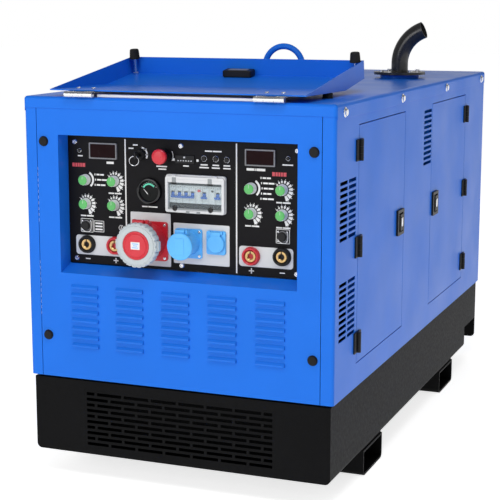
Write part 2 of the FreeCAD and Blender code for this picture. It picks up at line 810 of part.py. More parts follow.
def indicator_lamps():
    places = ((-294, 880, 4.5), (285, 882, 4.5), (60, 873, 6.5), (92, 873, 6.5), (122, 872, 6.5))
    pieces = []
    for x, z, radius in places:
        lamp = cone(radius, radius * 0.75, 4, x, panel, z, "front")
        pieces.append(lamp)
    return node(group(pieces), "indicator_lamps")


def welding_sockets():
    """Bayonet sockets for the welding leads: a round collar with a bore, set through the panel."""
    pieces = []
    for x, z in WELD_SOCKETS:
        collar = rod(24, 13, x, panel, z, "front")
        collar = rounded(collar, 2.5, rims_at("y", panel - 13))
        shank = rod(14.6, 30, x, panel, z, "back")
        bore = rod(socket_bore, 37, x, panel - 14, z, "back")
        dish = cone(17, socket_bore + 4, 7, x, panel - 13.01, z, "back")
        pieces.append(cut(fuse(collar, shank), bore, dish))
    return node(group(pieces), "welding_sockets")


def remote_connectors():
    pieces = []
    for x, z in ((-276, 683), (272, 687)):
        flange = block((x - 15, x + 15), (panel - 2.5, panel), (z - 15, z + 15))
        cap = rod(13, 13, x, panel - 2, z, "front")
        cap = rounded(cap, 1.5, rims_at("y", panel - 15))
        pieces.append(fuse(flange, cap))
    return node(group(pieces), "remote_connectors")


RED = (-91, 655)
BLUE = (18, 655)
PLAIN = (94, 661)


def red_socket():
    """Three-phase outlet with a hinged cap and bayonet ring."""
    x, z = RED
    flange = rounded(block((x - 50, x + 50), (panel - 7, panel), (z - 52, z + 50)), 8, along("y"))
    barrel = cone(46, 43, 52, x, panel - 6, z, "front")
    room = rod(37, 46, x, panel - 59, z, "back")
    pins = [rod(4, 30, x + 22 * math.cos(turn), panel - 12, z + 22 * math.sin(turn), "front")
            for turn in (math.radians(90 + 72 * number) for number in range(5))]
    ears = [block((left, left + 8), (panel - 62, panel - 40), (z + 40, z + 55)) for left in (x - 22, x + 14)]
    pin = rod(2.5, 44, x - 22, panel - 61, z + 58.5, "right")
    lugs = [block((left, left + 8), (panel - 64, panel - 56), (z + 50, z + 62)) for left in (x - 22, x + 14)]
    node(fuse(cut(fuse(flange, barrel), room), *pins, *ears, *lugs, pin), "three_phase_socket")
    disc = rod(57.5, 30, x, panel - 63.5, z, "front")
    disc = rounded(disc, 4, rims_at("y", panel - 93.5))
    inside = rod(44, 14, x, panel - 63, z, "front")
    tongue = rounded_lug(x, panel - 61, z + 58.5, 26, 5)
    tie = block((x - 13, x + 13), (panel - 72, panel - 63.5), (z + 54, z + 63))
    ear_room = [block((left - 0.5, left + 8.5), (panel - 66, panel - 62), (z + 48, z + 64))
                for left in (x - 22, x + 14)]
    bore = rod(2.5 + pin_play, 50, x - 25, panel - 61, z + 58.5, "right")
    node(cut(fuse(disc, tongue, tie), inside, bore, *ear_room), "three_phase_cap")


def rounded_lug(x, y, z, wide, radius):
    """A hinge eye that runs across, centred on its pin."""
    return rod(radius, wide, x - wide / 2, y, z, "right")


def blue_socket():
    """Single-phase outlet with a sprung round lid."""
    x, z = BLUE
    flange = rounded(block((x - 37, x + 37), (panel - 6, panel), (z - 39, z + 37)), 6, along("y"))
    barrel = cone(31, 29, 42, x, panel - 5, z, "front")
    room = rod(24, 36, x, panel - 48, z, "back")
    pins = [rod(2.5, 24, x + 12 * math.cos(turn), panel - 11, z + 12 * math.sin(turn), "front")
            for turn in (math.radians(90 + 120 * number) for number in range(3))]
    ears = [block((left, left + 6), (panel - 53, panel - 36), (z + 26, z + 41)) for left in (x - 17, x + 11)]
    pin = rod(2, 34, x - 17, panel - 50, z + 38, "right")
    node(fuse(cut(fuse(flange, barrel), room), *pins, *ears, pin), "single_phase_socket")
    disc = rod(35, 12, x, panel - 53.5, z, "front")
    disc = rounded(disc, 3, rims_at("y", panel - 65.5))
    inside = rod(26, 5, x, panel - 53, z, "front")
    tongue = rounded_lug(x, panel - 50, z + 38, 21, 4)
    tie = block((x - 10.5, x + 10.5), (panel - 58, panel - 50), (z + 31, z + 41.8))
    clear = block((x - 11, x + 11), (panel - 53.5, panel - 46), (z + 24, z + 33.7))
    bore = rod(2 + pin_play, 40, x - 20, panel - 50, z + 38, "right")
    node(cut(fuse(disc, tongue, tie), inside, bore, clear), "single_phase_lid")


def plain_socket():
    """Domestic outlet with a sprung rounded flap."""
    x, z = PLAIN
    flange = rounded(block((x - 26, x + 26), (panel - 7, panel), (z - 31, z + 30)), 6, along("y"))
    well = rod(19.5, 5, x, panel - 2, z - 3, "front")
    pin_holes = [rod(2.5, 3, x + way * 9.5, panel - 1, z - 3, "front") for way in (-1, 1)]
    ears = [block((left, left + 5), (panel - 12, panel - 6), (z + 22, z + 29)) for left in (x - 19, x + 14)]
    pin = rod(1.5, 38, x - 19, panel - 10, z + 25.5, "right")
    node(fuse(cut(flange, well, *pin_holes), *ears, pin), "domestic_socket")
    disc = rod(24, 5, x, panel - 8, z - 3, "front")
    disc = rounded(disc, 2, rims_at("y", panel - 13))
    tongue = rounded_lug(x, panel - 10, z + 25.5, 27, 2.6)
    tie = block((x - 13.5, x + 13.5), (panel - 12, panel - 9), (z + 10, z + 26))
    bore = rod(1.5 + pin_play, 50, x - 25, panel - 10, z + 25.5, "right")
    node(cut(fuse(disc, tongue, tie), bore), "domestic_socket_lid")


def breaker_box():
    """Row of circuit breakers behind a hinged clear window."""
    left, right, low, high = -43, 121, 733, 830
    ring = rounded(block((left, right), (panel - 8, panel), (low, high)), 7, along("y"))
    room = block((left + 6, right - 6), (panel - 9, panel + 1), (low + 10, high - 10))
    eyes = [rod(3.4, 10, start, panel - 11.5, high - 4, "right") for start in (left + 20, right - 30)]
    stands = [block((start, start + 10), (panel - 11.5, panel - 7), (high - 7, high - 1))
              for start in (left + 20, right - 30)]
    pins = [rod(1.5, 22, start, panel - 11.5, high - 4, "right") for start in (left + 20, right - 42)]
    node(fuse(cut(ring, room), *eyes, *stands, *pins), "breaker_frame")
    lid = block((left + 1, right - 1), (panel - 14.5, panel - 8.5), (low + 1, high - 8))
    lid = rounded(lid, 6, along("y"))
    well = block((left + 7, right - 7), (panel - 13, panel - 8), (low + 9, high - 14))
    bored = [rod(3, 11.5, start, panel - 11.5, high - 4, "right") for start in (left + 30.3, right - 41.8)]
    ties = [block((start, start + 11.5), (panel - 13.5, panel - 9.5), (high - 9, high - 4))
            for start in (left + 30.3, right - 41.8)]
    holes = [rod(1.5 + pin_play, 13, start, panel - 11.5, high - 4, "right")
             for start in (left + 29.8, right - 42.3)]
    node(cut(fuse(cut(lid, well), *bored, *ties), *holes), "breaker_window")


def breakers():
    bodies = block((-34, 112), (panel - 6, panel + 50), (758, 803))
    slots = [block(span, (panel - 7, panel + 10), (765, 797)) for span in LEVER_SLOTS.values()]
    lines = [pole * pole_pitch - 34 for pole in range(1, 8)]
    seams = [block((line - 0.3, line + 0.3), (panel - 7, panel - 5.4), (758, 803)) for line in lines]
    return node(cut(bodies, *slots, *seams), "breakers")


def breaker_toggle(label, span):
    """A toggle in its off place, pointing down and out."""
    left, right = span
    middle = 781
    hub = rod(4, right - left - 2, left + 1, panel, middle, "right")
    droop = math.radians(40)
    lever = block((left + 1, right - 1), (-toggle_reach, 0), (-2, 2))
    lever.Placement = FreeCAD.Placement(FreeCAD.Vector(),
                                        FreeCAD.Rotation(FreeCAD.Vector(1, 0, 0), math.degrees(droop)))
    bind(lever, "Placement.Base.x", left + 1)
    bind(lever, "Placement.Base.y", panel - toggle_reach * math.cos(droop) + 2 * math.sin(droop))
    bind(lever, "Placement.Base.z", middle - toggle_reach * math.sin(droop) - 2 * math.cos(droop))
    return node(fuse(hub, lever), label)


def emergency_stop():
    x, z = ESTOP
    base = rod(17.5, 9, x, panel, z, "front")
    collar = rod(12, 10, x, panel - 8, z, "front")
    bore = rod(stop_stem + 0.2, 22, x, panel + 1, z, "front")
    node(cut(fuse(base, collar), bore), "emergency_stop_base")
    stem = rod(stop_stem, 27, x, panel - 2, z, "front")
    head = rod(20, 14, x, panel - 25, z, "front")
    head = rounded(head, 4, rims_at("y", panel - 39))
    node(fuse(stem, head), "emergency_stop_button")


def ignition():
    x, z = IGNITION
    barrel = cone(13, 11.5, 8, x, panel, z, "front")
    keyway = block((x - 1.4, x + 1.4), (panel - 9, panel - 1), (z - 5.4, z + 5.4))
    turning_room = rod(5.6, 8, x, panel - 1, z, "front")
    node(cut(barrel, keyway, turning_room), "ignition_switch")
    blade = block((x - 1.1, x + 1.1), (panel - 16, panel - 1.5), (z - 4, z + 4))
    bow = rounded(block((x - 1.4, x + 1.4), (panel - 36, panel - 15), (z - 11, z + 11)), 5, along("x"))
    eye = rod(3, 6, x - 3, panel - 31, z, "right")
    node(cut(fuse(blade, bow), eye), "ignition_key")


def knob(label, x, z):
    """Collet knob: a body turned from a profile, with finger grooves round its skirt."""
    body = doc.addObject("PartDesign::Body", f"{label}_body")
    plane = next(item for item in body.Origin.OriginFeatures if item.Role == "XY_Plane")
    outline = body.newObject("Sketcher::SketchObject", f"{label}_outline")
    outline.AttachmentSupport = (plane, "")
    outline.MapMode = "FlatFace"
    draw_outline(outline, [(Size(0), Size(0)), (knob_radius, Size(0)), (knob_radius, Size(4)),
                           (knob_radius - 1.5, Size(5)), (knob_radius - 2.5, knob_long - 2),
                           (knob_radius - 4, knob_long), (Size(0), knob_long)])
    turned = body.newObject("PartDesign::Revolution", f"{label}_turned")
    turned.Profile = outline
    turned.ReferenceAxis = (outline, ["V_Axis"])
    turned.Angle = 360
    dent = body.newObject("Sketcher::SketchObject", f"{label}_dent")
    ground = next(item for item in body.Origin.OriginFeatures if item.Role == "XZ_Plane")
    dent.AttachmentSupport = (ground, "")
    dent.MapMode = "FlatFace"
    reach = knob_radius - 1.1
    finger = Part.Circle(FreeCAD.Vector(reach.value, 0, 0), FreeCAD.Vector(0, 0, 1), 1)
    dent.addGeometry(finger, False)
    place = dent.addConstraint(Sketcher.Constraint("DistanceX", -1, 1, 0, 3, reach.value))
    dent.setExpression(f"Constraints[{place}]", reach.formula)
    dent.addConstraint(Sketcher.Constraint("PointOnObject", 0, 3, -1))
    dent.addConstraint(Sketcher.Constraint("Radius", 0, 1))
    groove = body.newObject("PartDesign::Pocket", f"{label}_groove")
    groove.Profile = dent
    groove.Type = "ThroughAll"
    groove.Midplane = True
    ring = body.newObject("PartDesign::PolarPattern", f"{label}_grooves")
    ring.Originals = [groove]
    ring.Axis = (outline, ["V_Axis"])
    ring.Angle = 360
    ring.Occurrences = 18
    body.Tip = ring
    put(body, x, panel - 0.4, z, FreeCAD.Rotation(FreeCAD.Vector(1, 0, 0), 180))
    return node(body, label)


# ---------------------------------------------------------------- machinery inside
def engine_block():
    """Water-cooled four-cylinder diesel: block, head, sump and feet in one casting group."""
    height = crank_height
    block_box = block((-150, 150), (-150, 330), (height - 110, height + 190))
    head = block((-110, 110), (-140, 320), (height + 190, height + 300))
    valve_cover = rounded(block((-70, 70), (-130, 310), (height + 300, height + 345)), 10, along("y"))
    sump = block((-120, 120), (-140, 320), (height - 210, height - 110))
    feet = [block(x, y, (base_top, height - 60)) for x in ((-200, -150), (150, 200))
            for y in ((-120, -60), (240, 300))]
    tunnel = rod(46, 500, 0, -160, height, "back")
    return node(cut(fuse(block_box, head, valve_cover, sump, *feet), tunnel), "engine_block")


def generator_housing():
    """Stator shell of the welding generator, with end plates, terminal box and feet."""
    height = crank_height
    drum = rod(190, 430, 0, -590, height, "back")
    room = rod(160, 390, 0, -570, height, "back")
    shaft_room = rod(40, 460, 0, -600, height, "back")
    terminal_box = block((-90, 90), (-560, -380), (height + 180, height + 260))
    feet = [block((left, left + 90), (y, y + 60), (base_top, height - 130)) for left in (-170, 80)
            for y in (-570, -240)]
    feet_room = rod(185, 430, 0, -590, height, "back")
    stand = cut(group(feet), feet_room)
    return node(fuse(cut(fuse(drum, terminal_box), room, shaft_room), stand), "generator_housing")


def drive_shaft():
    """Crankshaft line: generator rotor, shaft through the engine and the cooling fan."""
    height = crank_height
    shaft = rod(38, 1070, 0, -610, height, "back")
    rotor = rod(150, 350, 0, -550, height, "back")
    nose = rod(60, 40, 0, 400, height, "back")
    blades = []
    for number in range(6):
        blade = block((-28, 28), (-3, 3), (50, 190))
        turn = FreeCAD.Rotation(FreeCAD.Vector(0, 1, 0), 60 * number)
        twist = FreeCAD.Rotation(FreeCAD.Vector(0, 0, 1), 25)
        holder = fuse(blade, block((-6, 6), (-3, 3), (40, 60)))
        blade_place = FreeCAD.Placement(FreeCAD.Vector(), turn * twist)
        holder.Placement = blade_place
        for letter, size in zip("xyz", (size_of(0), size_of(420), height)):
            bind(holder, f"Placement.Base.{letter}", size)
        blades.append(holder)
    return node(fuse(shaft, rotor, nose, *blades), "drive_shaft")


def radiator():
    core = block((-260, 260), (500, 550), (360, 860))
    tanks = [block((-270, 270), (490, 560), span) for span in ((320, 360), (860, 900))]
    feet = [block(x, (500, 550), (base_top, 320)) for x in ((-240, -200), (200, 240))]
    return node(fuse(core, *tanks, *feet), "radiator")


def muffler():
    drum = rod(85, 380, pipe_x, 0, 850, "back")
    drum = rounded(drum, 12, lambda edge: isinstance(edge.Curve, Part.Circle))
    outlet = rod(pipe_radius, 120, pipe_x, front + pipe_behind, 844.9, "up")
    return node(fuse(drum, outlet), "muffler")


def fuel_tank():
    tank = rounded(block((-330, 330), (-320, 300), (96, 250)), 14, along("y"))
    neck = rod(30, 18, 290, 240, 249, "up")
    return node(fuse(tank, neck), "fuel_tank")


def battery():
    case = block((-390, -215), (-720, -470), (canopy_bottom + 3, 470))
    posts = [rod(9, 18, -300, y, 470, "up") for y in (-690, -500)]
    return node(fuse(case, *posts), "battery")


# ---------------------------------------------------------------- the whole machine
def build():
    base_frame()
    inlet_grille()
    fork_pockets()
    right_side_panel()
    left_side_panel()
    front_panel()
    rear_panel()
    roof()
    lifting_eye()
    exhaust_pipe()
    fasteners()
    rubber_stops()
    cover()
    cover_handle()
    cover_bumpers()
    cover_hinges()
    for name, (hinged_edge, free_edge, way) in DOORS.items():
        door_parts(name, hinged_edge, free_edge, way)
    door_hinge_frames()
    control_panel()
    panel_meters()
    indicator_lamps()
    welding_sockets()
    remote_connectors()
    red_socket()
    blue_socket()
    plain_socket()
    breaker_box()
    breakers()
    for label, span in LEVER_SLOTS.items():
        breaker_toggle(label, span)
    emergency_stop()
    ignition()
    for label, (x, z) in KNOBS.items():
        knob(label, x, z)
    engine_block()
    generator_housing()
    drive_shaft()
    radiator()
    muffler()
    fuel_tank()
    battery()


def check_and_write():
    """Refuse any failed object or bad shape, then write one STEP file for each sub-part."""
    doc.recompute()
    failed = [thing.Name for thing in doc.Objects if {"Invalid", "Error"} & set(thing.State)]
    bad = [thing.Label for thing in nodes if thing.Shape.isNull() or not thing.Shape.isValid()]
    if failed or bad:
        raise RuntimeError(f"failed objects {failed}, bad shapes {bad}")
    os.makedirs("parts", exist_ok=True)
    for thing in nodes:
        thing.Shape.exportStep(f"parts/{thing.Label}.step")
        print(f"{thing.Label:28s} {len(thing.Shape.Solids):3d} solids {thing.Shape.Volume / 1000:10.1f} cm3")
    print(len(nodes), "sub-parts")


build()
check_and_write()
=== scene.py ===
"""Looks of the engine driven welder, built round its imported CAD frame. Metres, +Z up, front at -Y."""
import bmesh
import bpy
import math
from mathutils import Matrix, Vector


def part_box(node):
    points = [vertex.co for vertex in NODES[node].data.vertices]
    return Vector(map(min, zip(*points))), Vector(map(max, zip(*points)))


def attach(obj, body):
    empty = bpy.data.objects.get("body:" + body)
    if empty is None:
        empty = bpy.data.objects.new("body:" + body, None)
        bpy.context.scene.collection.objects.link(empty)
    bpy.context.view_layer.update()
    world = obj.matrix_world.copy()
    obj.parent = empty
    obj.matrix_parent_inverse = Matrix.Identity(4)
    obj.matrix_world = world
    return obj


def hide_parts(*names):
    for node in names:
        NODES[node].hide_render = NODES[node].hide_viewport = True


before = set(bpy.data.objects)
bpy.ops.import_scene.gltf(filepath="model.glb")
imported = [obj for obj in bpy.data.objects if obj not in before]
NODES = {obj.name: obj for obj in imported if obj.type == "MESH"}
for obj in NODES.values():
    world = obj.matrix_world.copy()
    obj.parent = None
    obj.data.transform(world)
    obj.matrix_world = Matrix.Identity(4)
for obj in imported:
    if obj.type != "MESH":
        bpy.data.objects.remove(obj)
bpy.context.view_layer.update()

# ---------------------------------------------------------------- places on the machine
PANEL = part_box("control_panel")[0].y
FRONT_SHEET = -0.82
ROOF_PLATE = 1.022
CRANK = 0.56
THREE_PHASE = (-0.091, 0.655)
SINGLE_PHASE = (0.018, 0.655)
DOMESTIC = (0.094, 0.658)
GAUGE = (-0.093, 0.783)
OUTLET_SCREWS = 0.654
REMOTES = {"left": (-0.276, 0.683), "right": (0.272, 0.687)}
# how the panel is printed round each knob: a fan of lines or a growing wedge of steps
KNOB_KINDS = {
    "process_selector": "fan",
    "current_knob": "wedge",
    "arc_force_knob": "wedge",
    "hot_start_knob": "wedge",
}
KNOB_NODES = {f"{side}_{part}": kind for side in ("left", "right") for part, kind in KNOB_KINDS.items()}
# across, up and radius in millimetres of each lamp
LAMPS = (
    (-0.294, 0.88, 4.5),
    (0.285, 0.882, 4.5),
    (0.06, 0.873, 6.5),
    (0.092, 0.873, 6.5),
    (0.122, 0.872, 6.5),
)
# across, up and whether the pole is the red one
WELD_SOCKETS = {
    "left_black": (-0.275, 0.633, False),
    "left_red": (-0.193, 0.634, True),
    "right_red": (0.188, 0.632, True),
    "right_black": (0.271, 0.636, False),
}


def middle(node):
    low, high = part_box(node)
    return (low + high) / 2


# ---------------------------------------------------------------- camera, lights and floor
CAMERA_PLACE = Vector((1.4198, -3.9129, 1.2606))
CAMERA_AIM = Vector((-0.1255, 0.02, 0.4935))
CAMERA_LENS = 98.35
SENSOR_WIDTH = 36
AMBIENT = 0.27
WHITE = (1, 1, 1, 1)
FLOOR_HALF = 30
FLOOR_GLOW = 0.765


def set_view():
    camera = bpy.data.objects.new("camera", bpy.data.cameras.new("camera"))
    bpy.context.scene.collection.objects.link(camera)
    camera.location = CAMERA_PLACE
    camera.rotation_euler = (CAMERA_AIM - CAMERA_PLACE).to_track_quat("-Z", "Y").to_euler()
    camera.data.lens = CAMERA_LENS
    camera.data.sensor_width = SENSOR_WIDTH
    bpy.context.scene.camera = camera
    bpy.context.scene.view_settings.view_transform = "Standard"


def area_light(name, place, aim, size, power):
    data = bpy.data.lights.new(name, "AREA")
    data.shape = "RECTANGLE"
    data.size, data.size_y = size
    data.energy = power
    lamp = bpy.data.objects.new(name, data)
    bpy.context.scene.collection.objects.link(lamp)
    lamp.location = place
    lamp.rotation_euler = (Vector(aim) - Vector(place)).to_track_quat("-Z", "Y").to_euler()


def studio():
    world = bpy.data.worlds.new("studio")
    world.use_nodes = True
    nodes, links = world.node_tree.nodes, world.node_tree.links
    seen = nodes["Background"]
    seen.inputs["Color"].default_value = WHITE
    seen.inputs["Strength"].default_value = 1.0
    ambient = nodes.new("ShaderNodeBackground")
    ambient.inputs["Color"].default_value = WHITE
    ambient.inputs["Strength"].default_value = AMBIENT
    choice = nodes.new("ShaderNodeMixShader")
    links.new(nodes.new("ShaderNodeLightPath").outputs["Is Camera Ray"], choice.inputs[0])
    links.new(ambient.outputs["Background"], choice.inputs[1])
    links.new(seen.outputs["Background"], choice.inputs[2])
    links.new(choice.outputs["Shader"], nodes["World Output"].inputs["Surface"])
    bpy.context.scene.world = world
    area_light("front", (-1.6, -5.0, 1.8), (0, -0.8, 0.6), (2.6, 2.2), 52)
    area_light("near_roof", (0.7, -2.4, 3.4), (0, -0.7, 1.0), (1.8, 1.2), 42)
    area_light("back_sky", (-1.9, 5.2, 2.5), (0, 0, 1.0), (5.0, 1.8), 18)
    bm = bmesh.new()
    bmesh.ops.create_grid(bm, x_segments=1, y_segments=1, size=FLOOR_HALF)
    mesh = bpy.data.meshes.new("floor")
    bm.to_mesh(mesh)
    bm.free()
    floor = bpy.data.objects.new("floor", mesh)
    bpy.context.scene.collection.objects.link(floor)
    floor.data.materials.append(finish("floor_white", (0.97, 0.97, 0.97), 0.9, bump=0.0, vary=0.0,
        emit=FLOOR_GLOW))


# ---------------------------------------------------------------- materials
COAT_ROUGHNESS = 0.04
EDGE_SAMPLES = 4
BUMP_HEIGHT = 0.0004
DRIFT_SCALE = 7
STREAK_SCALE = (40, 40, 900)


def finish(name, colour, roughness, metal=0.0, coat=0.0, vary=0.06, grain=600, bump=0.05, bevel=0.0008,
           alpha=1.0, emit=0.0, sheen=0.0, scratches=0.0, specular=0.5):
    """A procedural finish: colour drift, soft edges, grain in bump and roughness, or drawn scratches."""
    material = bpy.data.materials.new(name)
    material.use_nodes = True
    tree = material.node_tree
    nodes, links = tree.nodes, tree.links
    shader = nodes["Principled BSDF"]
    shader.inputs["Metallic"].default_value = metal
    shader.inputs["Coat Weight"].default_value = coat
    shader.inputs["Coat Roughness"].default_value = COAT_ROUGHNESS
    shader.inputs["Alpha"].default_value = alpha
    shader.inputs["Sheen Weight"].default_value = sheen
    shader.inputs["Specular IOR Level"].default_value = specular
    place = nodes.new("ShaderNodeTexCoord").outputs["Object"]

    def noise(scale, detail=3.0):
        texture = nodes.new("ShaderNodeTexNoise")
        texture.inputs["Scale"].default_value = scale
        texture.inputs["Detail"].default_value = detail
        links.new(place, texture.inputs["Vector"])
        return texture.outputs["Fac"]

    def remap(value, low, high, start=0.3, end=0.7):
        node = nodes.new("ShaderNodeMapRange")
        links.new(value, node.inputs["Value"])
        node.inputs["From Min"].default_value = start
        node.inputs["From Max"].default_value = end
        node.inputs["To Min"].default_value = low
        node.inputs["To Max"].default_value = high
        return node.outputs["Result"]

    def mixed(first, second, factor):
        node = nodes.new("ShaderNodeMix")
        node.data_type = "RGBA"
        links.new(factor, node.inputs["Factor"])
        for socket, value in (("A", first), ("B", second)):
            target = next(item for item in node.inputs if item.name == socket and item.type == "RGBA")
            if isinstance(value, tuple):
                target.default_value = (*value, 1)
            else:
                links.new(value, target)
        return next(item for item in node.outputs if item.type == "RGBA")

    darker = tuple(channel * (1 - vary) for channel in colour)
    lighter = tuple(min(1.0, channel * (1 + vary)) for channel in colour)
    result = mixed(darker, lighter, remap(noise(DRIFT_SCALE), 0, 1))
    links.new(result, shader.inputs["Base Color"])
    if emit:
        links.new(result, shader.inputs["Emission Color"])
        shader.inputs["Emission Strength"].default_value = emit
    rough = remap(noise(grain / 12, 4), max(0.02, roughness - 0.05), min(1.0, roughness + 0.06))
    if scratches:
        stretch = nodes.new("ShaderNodeMapping")
        stretch.inputs["Scale"].default_value = STREAK_SCALE
        links.new(place, stretch.inputs["Vector"])
        streaks = nodes.new("ShaderNodeTexNoise")
        streaks.inputs["Scale"].default_value = 1.0
        links.new(stretch.outputs["Vector"], streaks.inputs["Vector"])
        rough = remap(streaks.outputs["Fac"], roughness - scratches, roughness + scratches)
    links.new(rough, shader.inputs["Roughness"])
    softened = nodes.new("ShaderNodeBevel")
    softened.samples = EDGE_SAMPLES
    softened.inputs["Radius"].default_value = bevel
    normal = softened.outputs["Normal"]
    if bump:
        bumps = nodes.new("ShaderNodeBump")
        bumps.inputs["Strength"].default_value = bump
        bumps.inputs["Distance"].default_value = BUMP_HEIGHT
        links.new(noise(grain, 2), bumps.inputs["Height"])
        links.new(normal, bumps.inputs["Normal"])
        normal = bumps.outputs["Normal"]
    links.new(normal, shader.inputs["Normal"])
    return material


LOOKS = {
    "paint": finish("canopy_blue", (0.011, 0.162, 0.74), 0.34, coat=0.04, vary=0.03, grain=60, bump=0.0,
                    bevel=0.0016, specular=0.12),
    "base": finish("skid_black", (0.002, 0.002, 0.0024), 0.58, vary=0.2, grain=1300, bump=0.2,
            bevel=0.0016,
                   specular=0.1),
    "plate": finish("panel_black", (0.0055, 0.005, 0.0062), 0.5, vary=0.08, grain=1500, bump=0.08,
                    specular=0.12),
    "print": finish("print_white", (0.8, 0.8, 0.79), 0.5, vary=0.04, grain=900, bump=0.02),
    "zinc": finish("bright_zinc", (0.66, 0.67, 0.7), 0.22, metal=1.0, vary=0.08, scratches=0.08),
    "chrome": finish("chrome", (0.8, 0.81, 0.83), 0.1, metal=1.0, vary=0.04, bump=0.02),
    "stove": finish("stove_black", (0.01, 0.01, 0.011), 0.3, coat=0.25, vary=0.3, grain=900, bump=0.12),
    "rubber": finish("black_rubber", (0.009, 0.009, 0.01), 0.62, vary=0.2, grain=1800, bump=0.2,
            specular=0.2),
    "plastic": finish("black_plastic", (0.01, 0.01, 0.011), 0.4, vary=0.15, grain=2200, bump=0.25,
            specular=0.22),
    "gloss": finish("gloss_black", (0.005, 0.005, 0.006), 0.12, coat=0.15, vary=0.1, bump=0.0,
            specular=0.35),
    "grey": finish("grey_plastic", (0.68, 0.69, 0.7), 0.42, vary=0.05, grain=1800, bump=0.12),
    "label": finish("label_grey", (0.64, 0.65, 0.66), 0.45, vary=0.05, grain=1500, bump=0.06),
    "bezel": finish("bezel_grey", (0.22, 0.22, 0.23), 0.4, vary=0.08, grain=1600, bump=0.12),
    "display": finish("display_glass", (0.012, 0.0012, 0.0025), 0.22, vary=0.2, bump=0.0,
            specular=0.08),
    "gauge_face": finish("gauge_face", (0.005, 0.006, 0.006), 0.35, vary=0.15, bump=0.03,
            specular=0.12),
    "red": finish("red_plastic", (0.6, 0.018, 0.034), 0.32, vary=0.08, grain=1500, bump=0.08),
    "blue": finish("socket_blue", (0.1, 0.46, 0.92), 0.36, vary=0.05, grain=1500, bump=0.06),
    "toggle": finish("toggle_blue", (0.01, 0.13, 0.55), 0.35, vary=0.08, grain=1500, bump=0.06),
    "green": finish("knob_green", (0.1, 0.47, 0.12), 0.34, vary=0.06, grain=1400, bump=0.06),
    "mint": finish("arc_green", (0.1, 0.62, 0.42), 0.4, vary=0.08, bump=0.02),
    "knob": finish("knob_grey", (0.76, 0.8, 0.78), 0.42, vary=0.06, grain=1700, bump=0.1),
    "clear": finish("clear_window", (0.55, 0.64, 0.68), 0.05, vary=0.02, coat=0.1, alpha=0.1, bump=0.0),
    "breaker": finish("breaker_grey", (0.58, 0.66, 0.68), 0.45, vary=0.05, grain=1700, bump=0.08),
    "ring": finish("ring_grey", (0.5, 0.55, 0.57), 0.45, vary=0.05, grain=1600, bump=0.08),
    "trim": finish("trim_grey", (0.27, 0.29, 0.3), 0.4, vary=0.08, grain=1600, bump=0.08),
    "cord": finish("pale_cord", (0.74, 0.74, 0.73), 0.45, vary=0.05, bump=0.05),
    "caption_red": finish("caption_red", (0.62, 0.07, 0.09), 0.5, vary=0.04, bump=0.02),
    "brass": finish("brass", (0.56, 0.38, 0.17), 0.28, metal=1.0, vary=0.08, scratches=0.06),
    "foam": finish("acoustic_foam", (0.035, 0.035, 0.038), 0.95, vary=0.25, grain=500, bump=0.6,
            sheen=0.2),
    "iron": finish("engine_green_grey", (0.15, 0.19, 0.19), 0.5, vary=0.2, grain=500, bump=0.35),
    "generator": finish("generator_grey", (0.24, 0.26, 0.28), 0.42, vary=0.12, grain=900, bump=0.2),
    "steel": finish("machined_steel", (0.45, 0.45, 0.46), 0.3, metal=1.0, vary=0.08, scratches=0.1),
    "core": finish("radiator_core", (0.1, 0.1, 0.11), 0.45, metal=0.6, vary=0.2, grain=300, bump=0.5),
    "tank": finish("tank_black", (0.02, 0.02, 0.021), 0.5, vary=0.2, grain=900, bump=0.15),
}


# the CAD material slot that each look stands for, unless a piece says otherwise
SLOT_LOOKS = {
    "black_plastic": "bezel cord plastic", "black_rubber": "foam rubber", "black_steel": "stove",
    "blue_plastic": "blue toggle", "bright_zinc": "chrome zinc", "cast_iron": "iron",
    "clear_plastic": "clear grey trim", "dark_glass": "display gauge_face gloss mint print",
    "generator_paint": "generator", "green_knob": "green knob", "grey_plastic": "breaker label",
    "panel_paint": "caption_red", "red_plastic": "red ring", "shaft_steel": "steel",
    "socket_plastic": "brass",
}
SLOTS = {look: slot for slot, looks in SLOT_LOOKS.items() for look in looks.split()}


# ---------------------------------------------------------------- mesh building
def piece(name, bm, look, body="canopy", slot=None, angle=35):
    """Turn a bmesh into a finished piece that rides on a body."""
    bmesh.ops.remove_doubles(bm, verts=bm.verts, dist=1e-7)
    bmesh.ops.recalc_face_normals(bm, faces=bm.faces)
    mesh = bpy.data.meshes.new(name)
    bm.to_mesh(mesh)
    bm.free()
    mesh.polygons.foreach_set("use_smooth", [True] * len(mesh.polygons))
    mesh.set_sharp_from_angle(angle=math.radians(angle))
    thing = bpy.data.objects.new(name, mesh)
    bpy.context.scene.collection.objects.link(thing)
    mesh.materials.append(LOOKS[look])
    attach(thing, body)
    slot = slot or SLOTS[look]
    return thing


TINY = 1e-6
MM = 0.001
# the smallest corner radius of a rim, and the order of the corners of a loop as (right, top)
RIM_REACH = 0.0006
CORNERS = ((1, 1), (0, 1), (0, 0), (1, 0))
WAYS = {
    "front": Matrix.Rotation(math.radians(90), 4, "X"),
    "up": Matrix.Identity(4),
    "right": Matrix.Rotation(math.radians(90), 4, "Y"),
    "back": Matrix.Rotation(math.radians(-90), 4, "X"),
    "left": Matrix.Rotation(math.radians(-90), 4, "Y"),
}


def loft(bm, rings, closed=False):
    """Faces from each ring to the next; an open row of rings also gets a face at both its ends."""
    for first, second in zip(rings, rings[1:] + (rings[:1] if closed else [])):
        join_rings(bm, first, second)
    if not closed:
        for end in (rings[0], rings[-1]):
            if len(end) > 1:
                bm.faces.new(end)


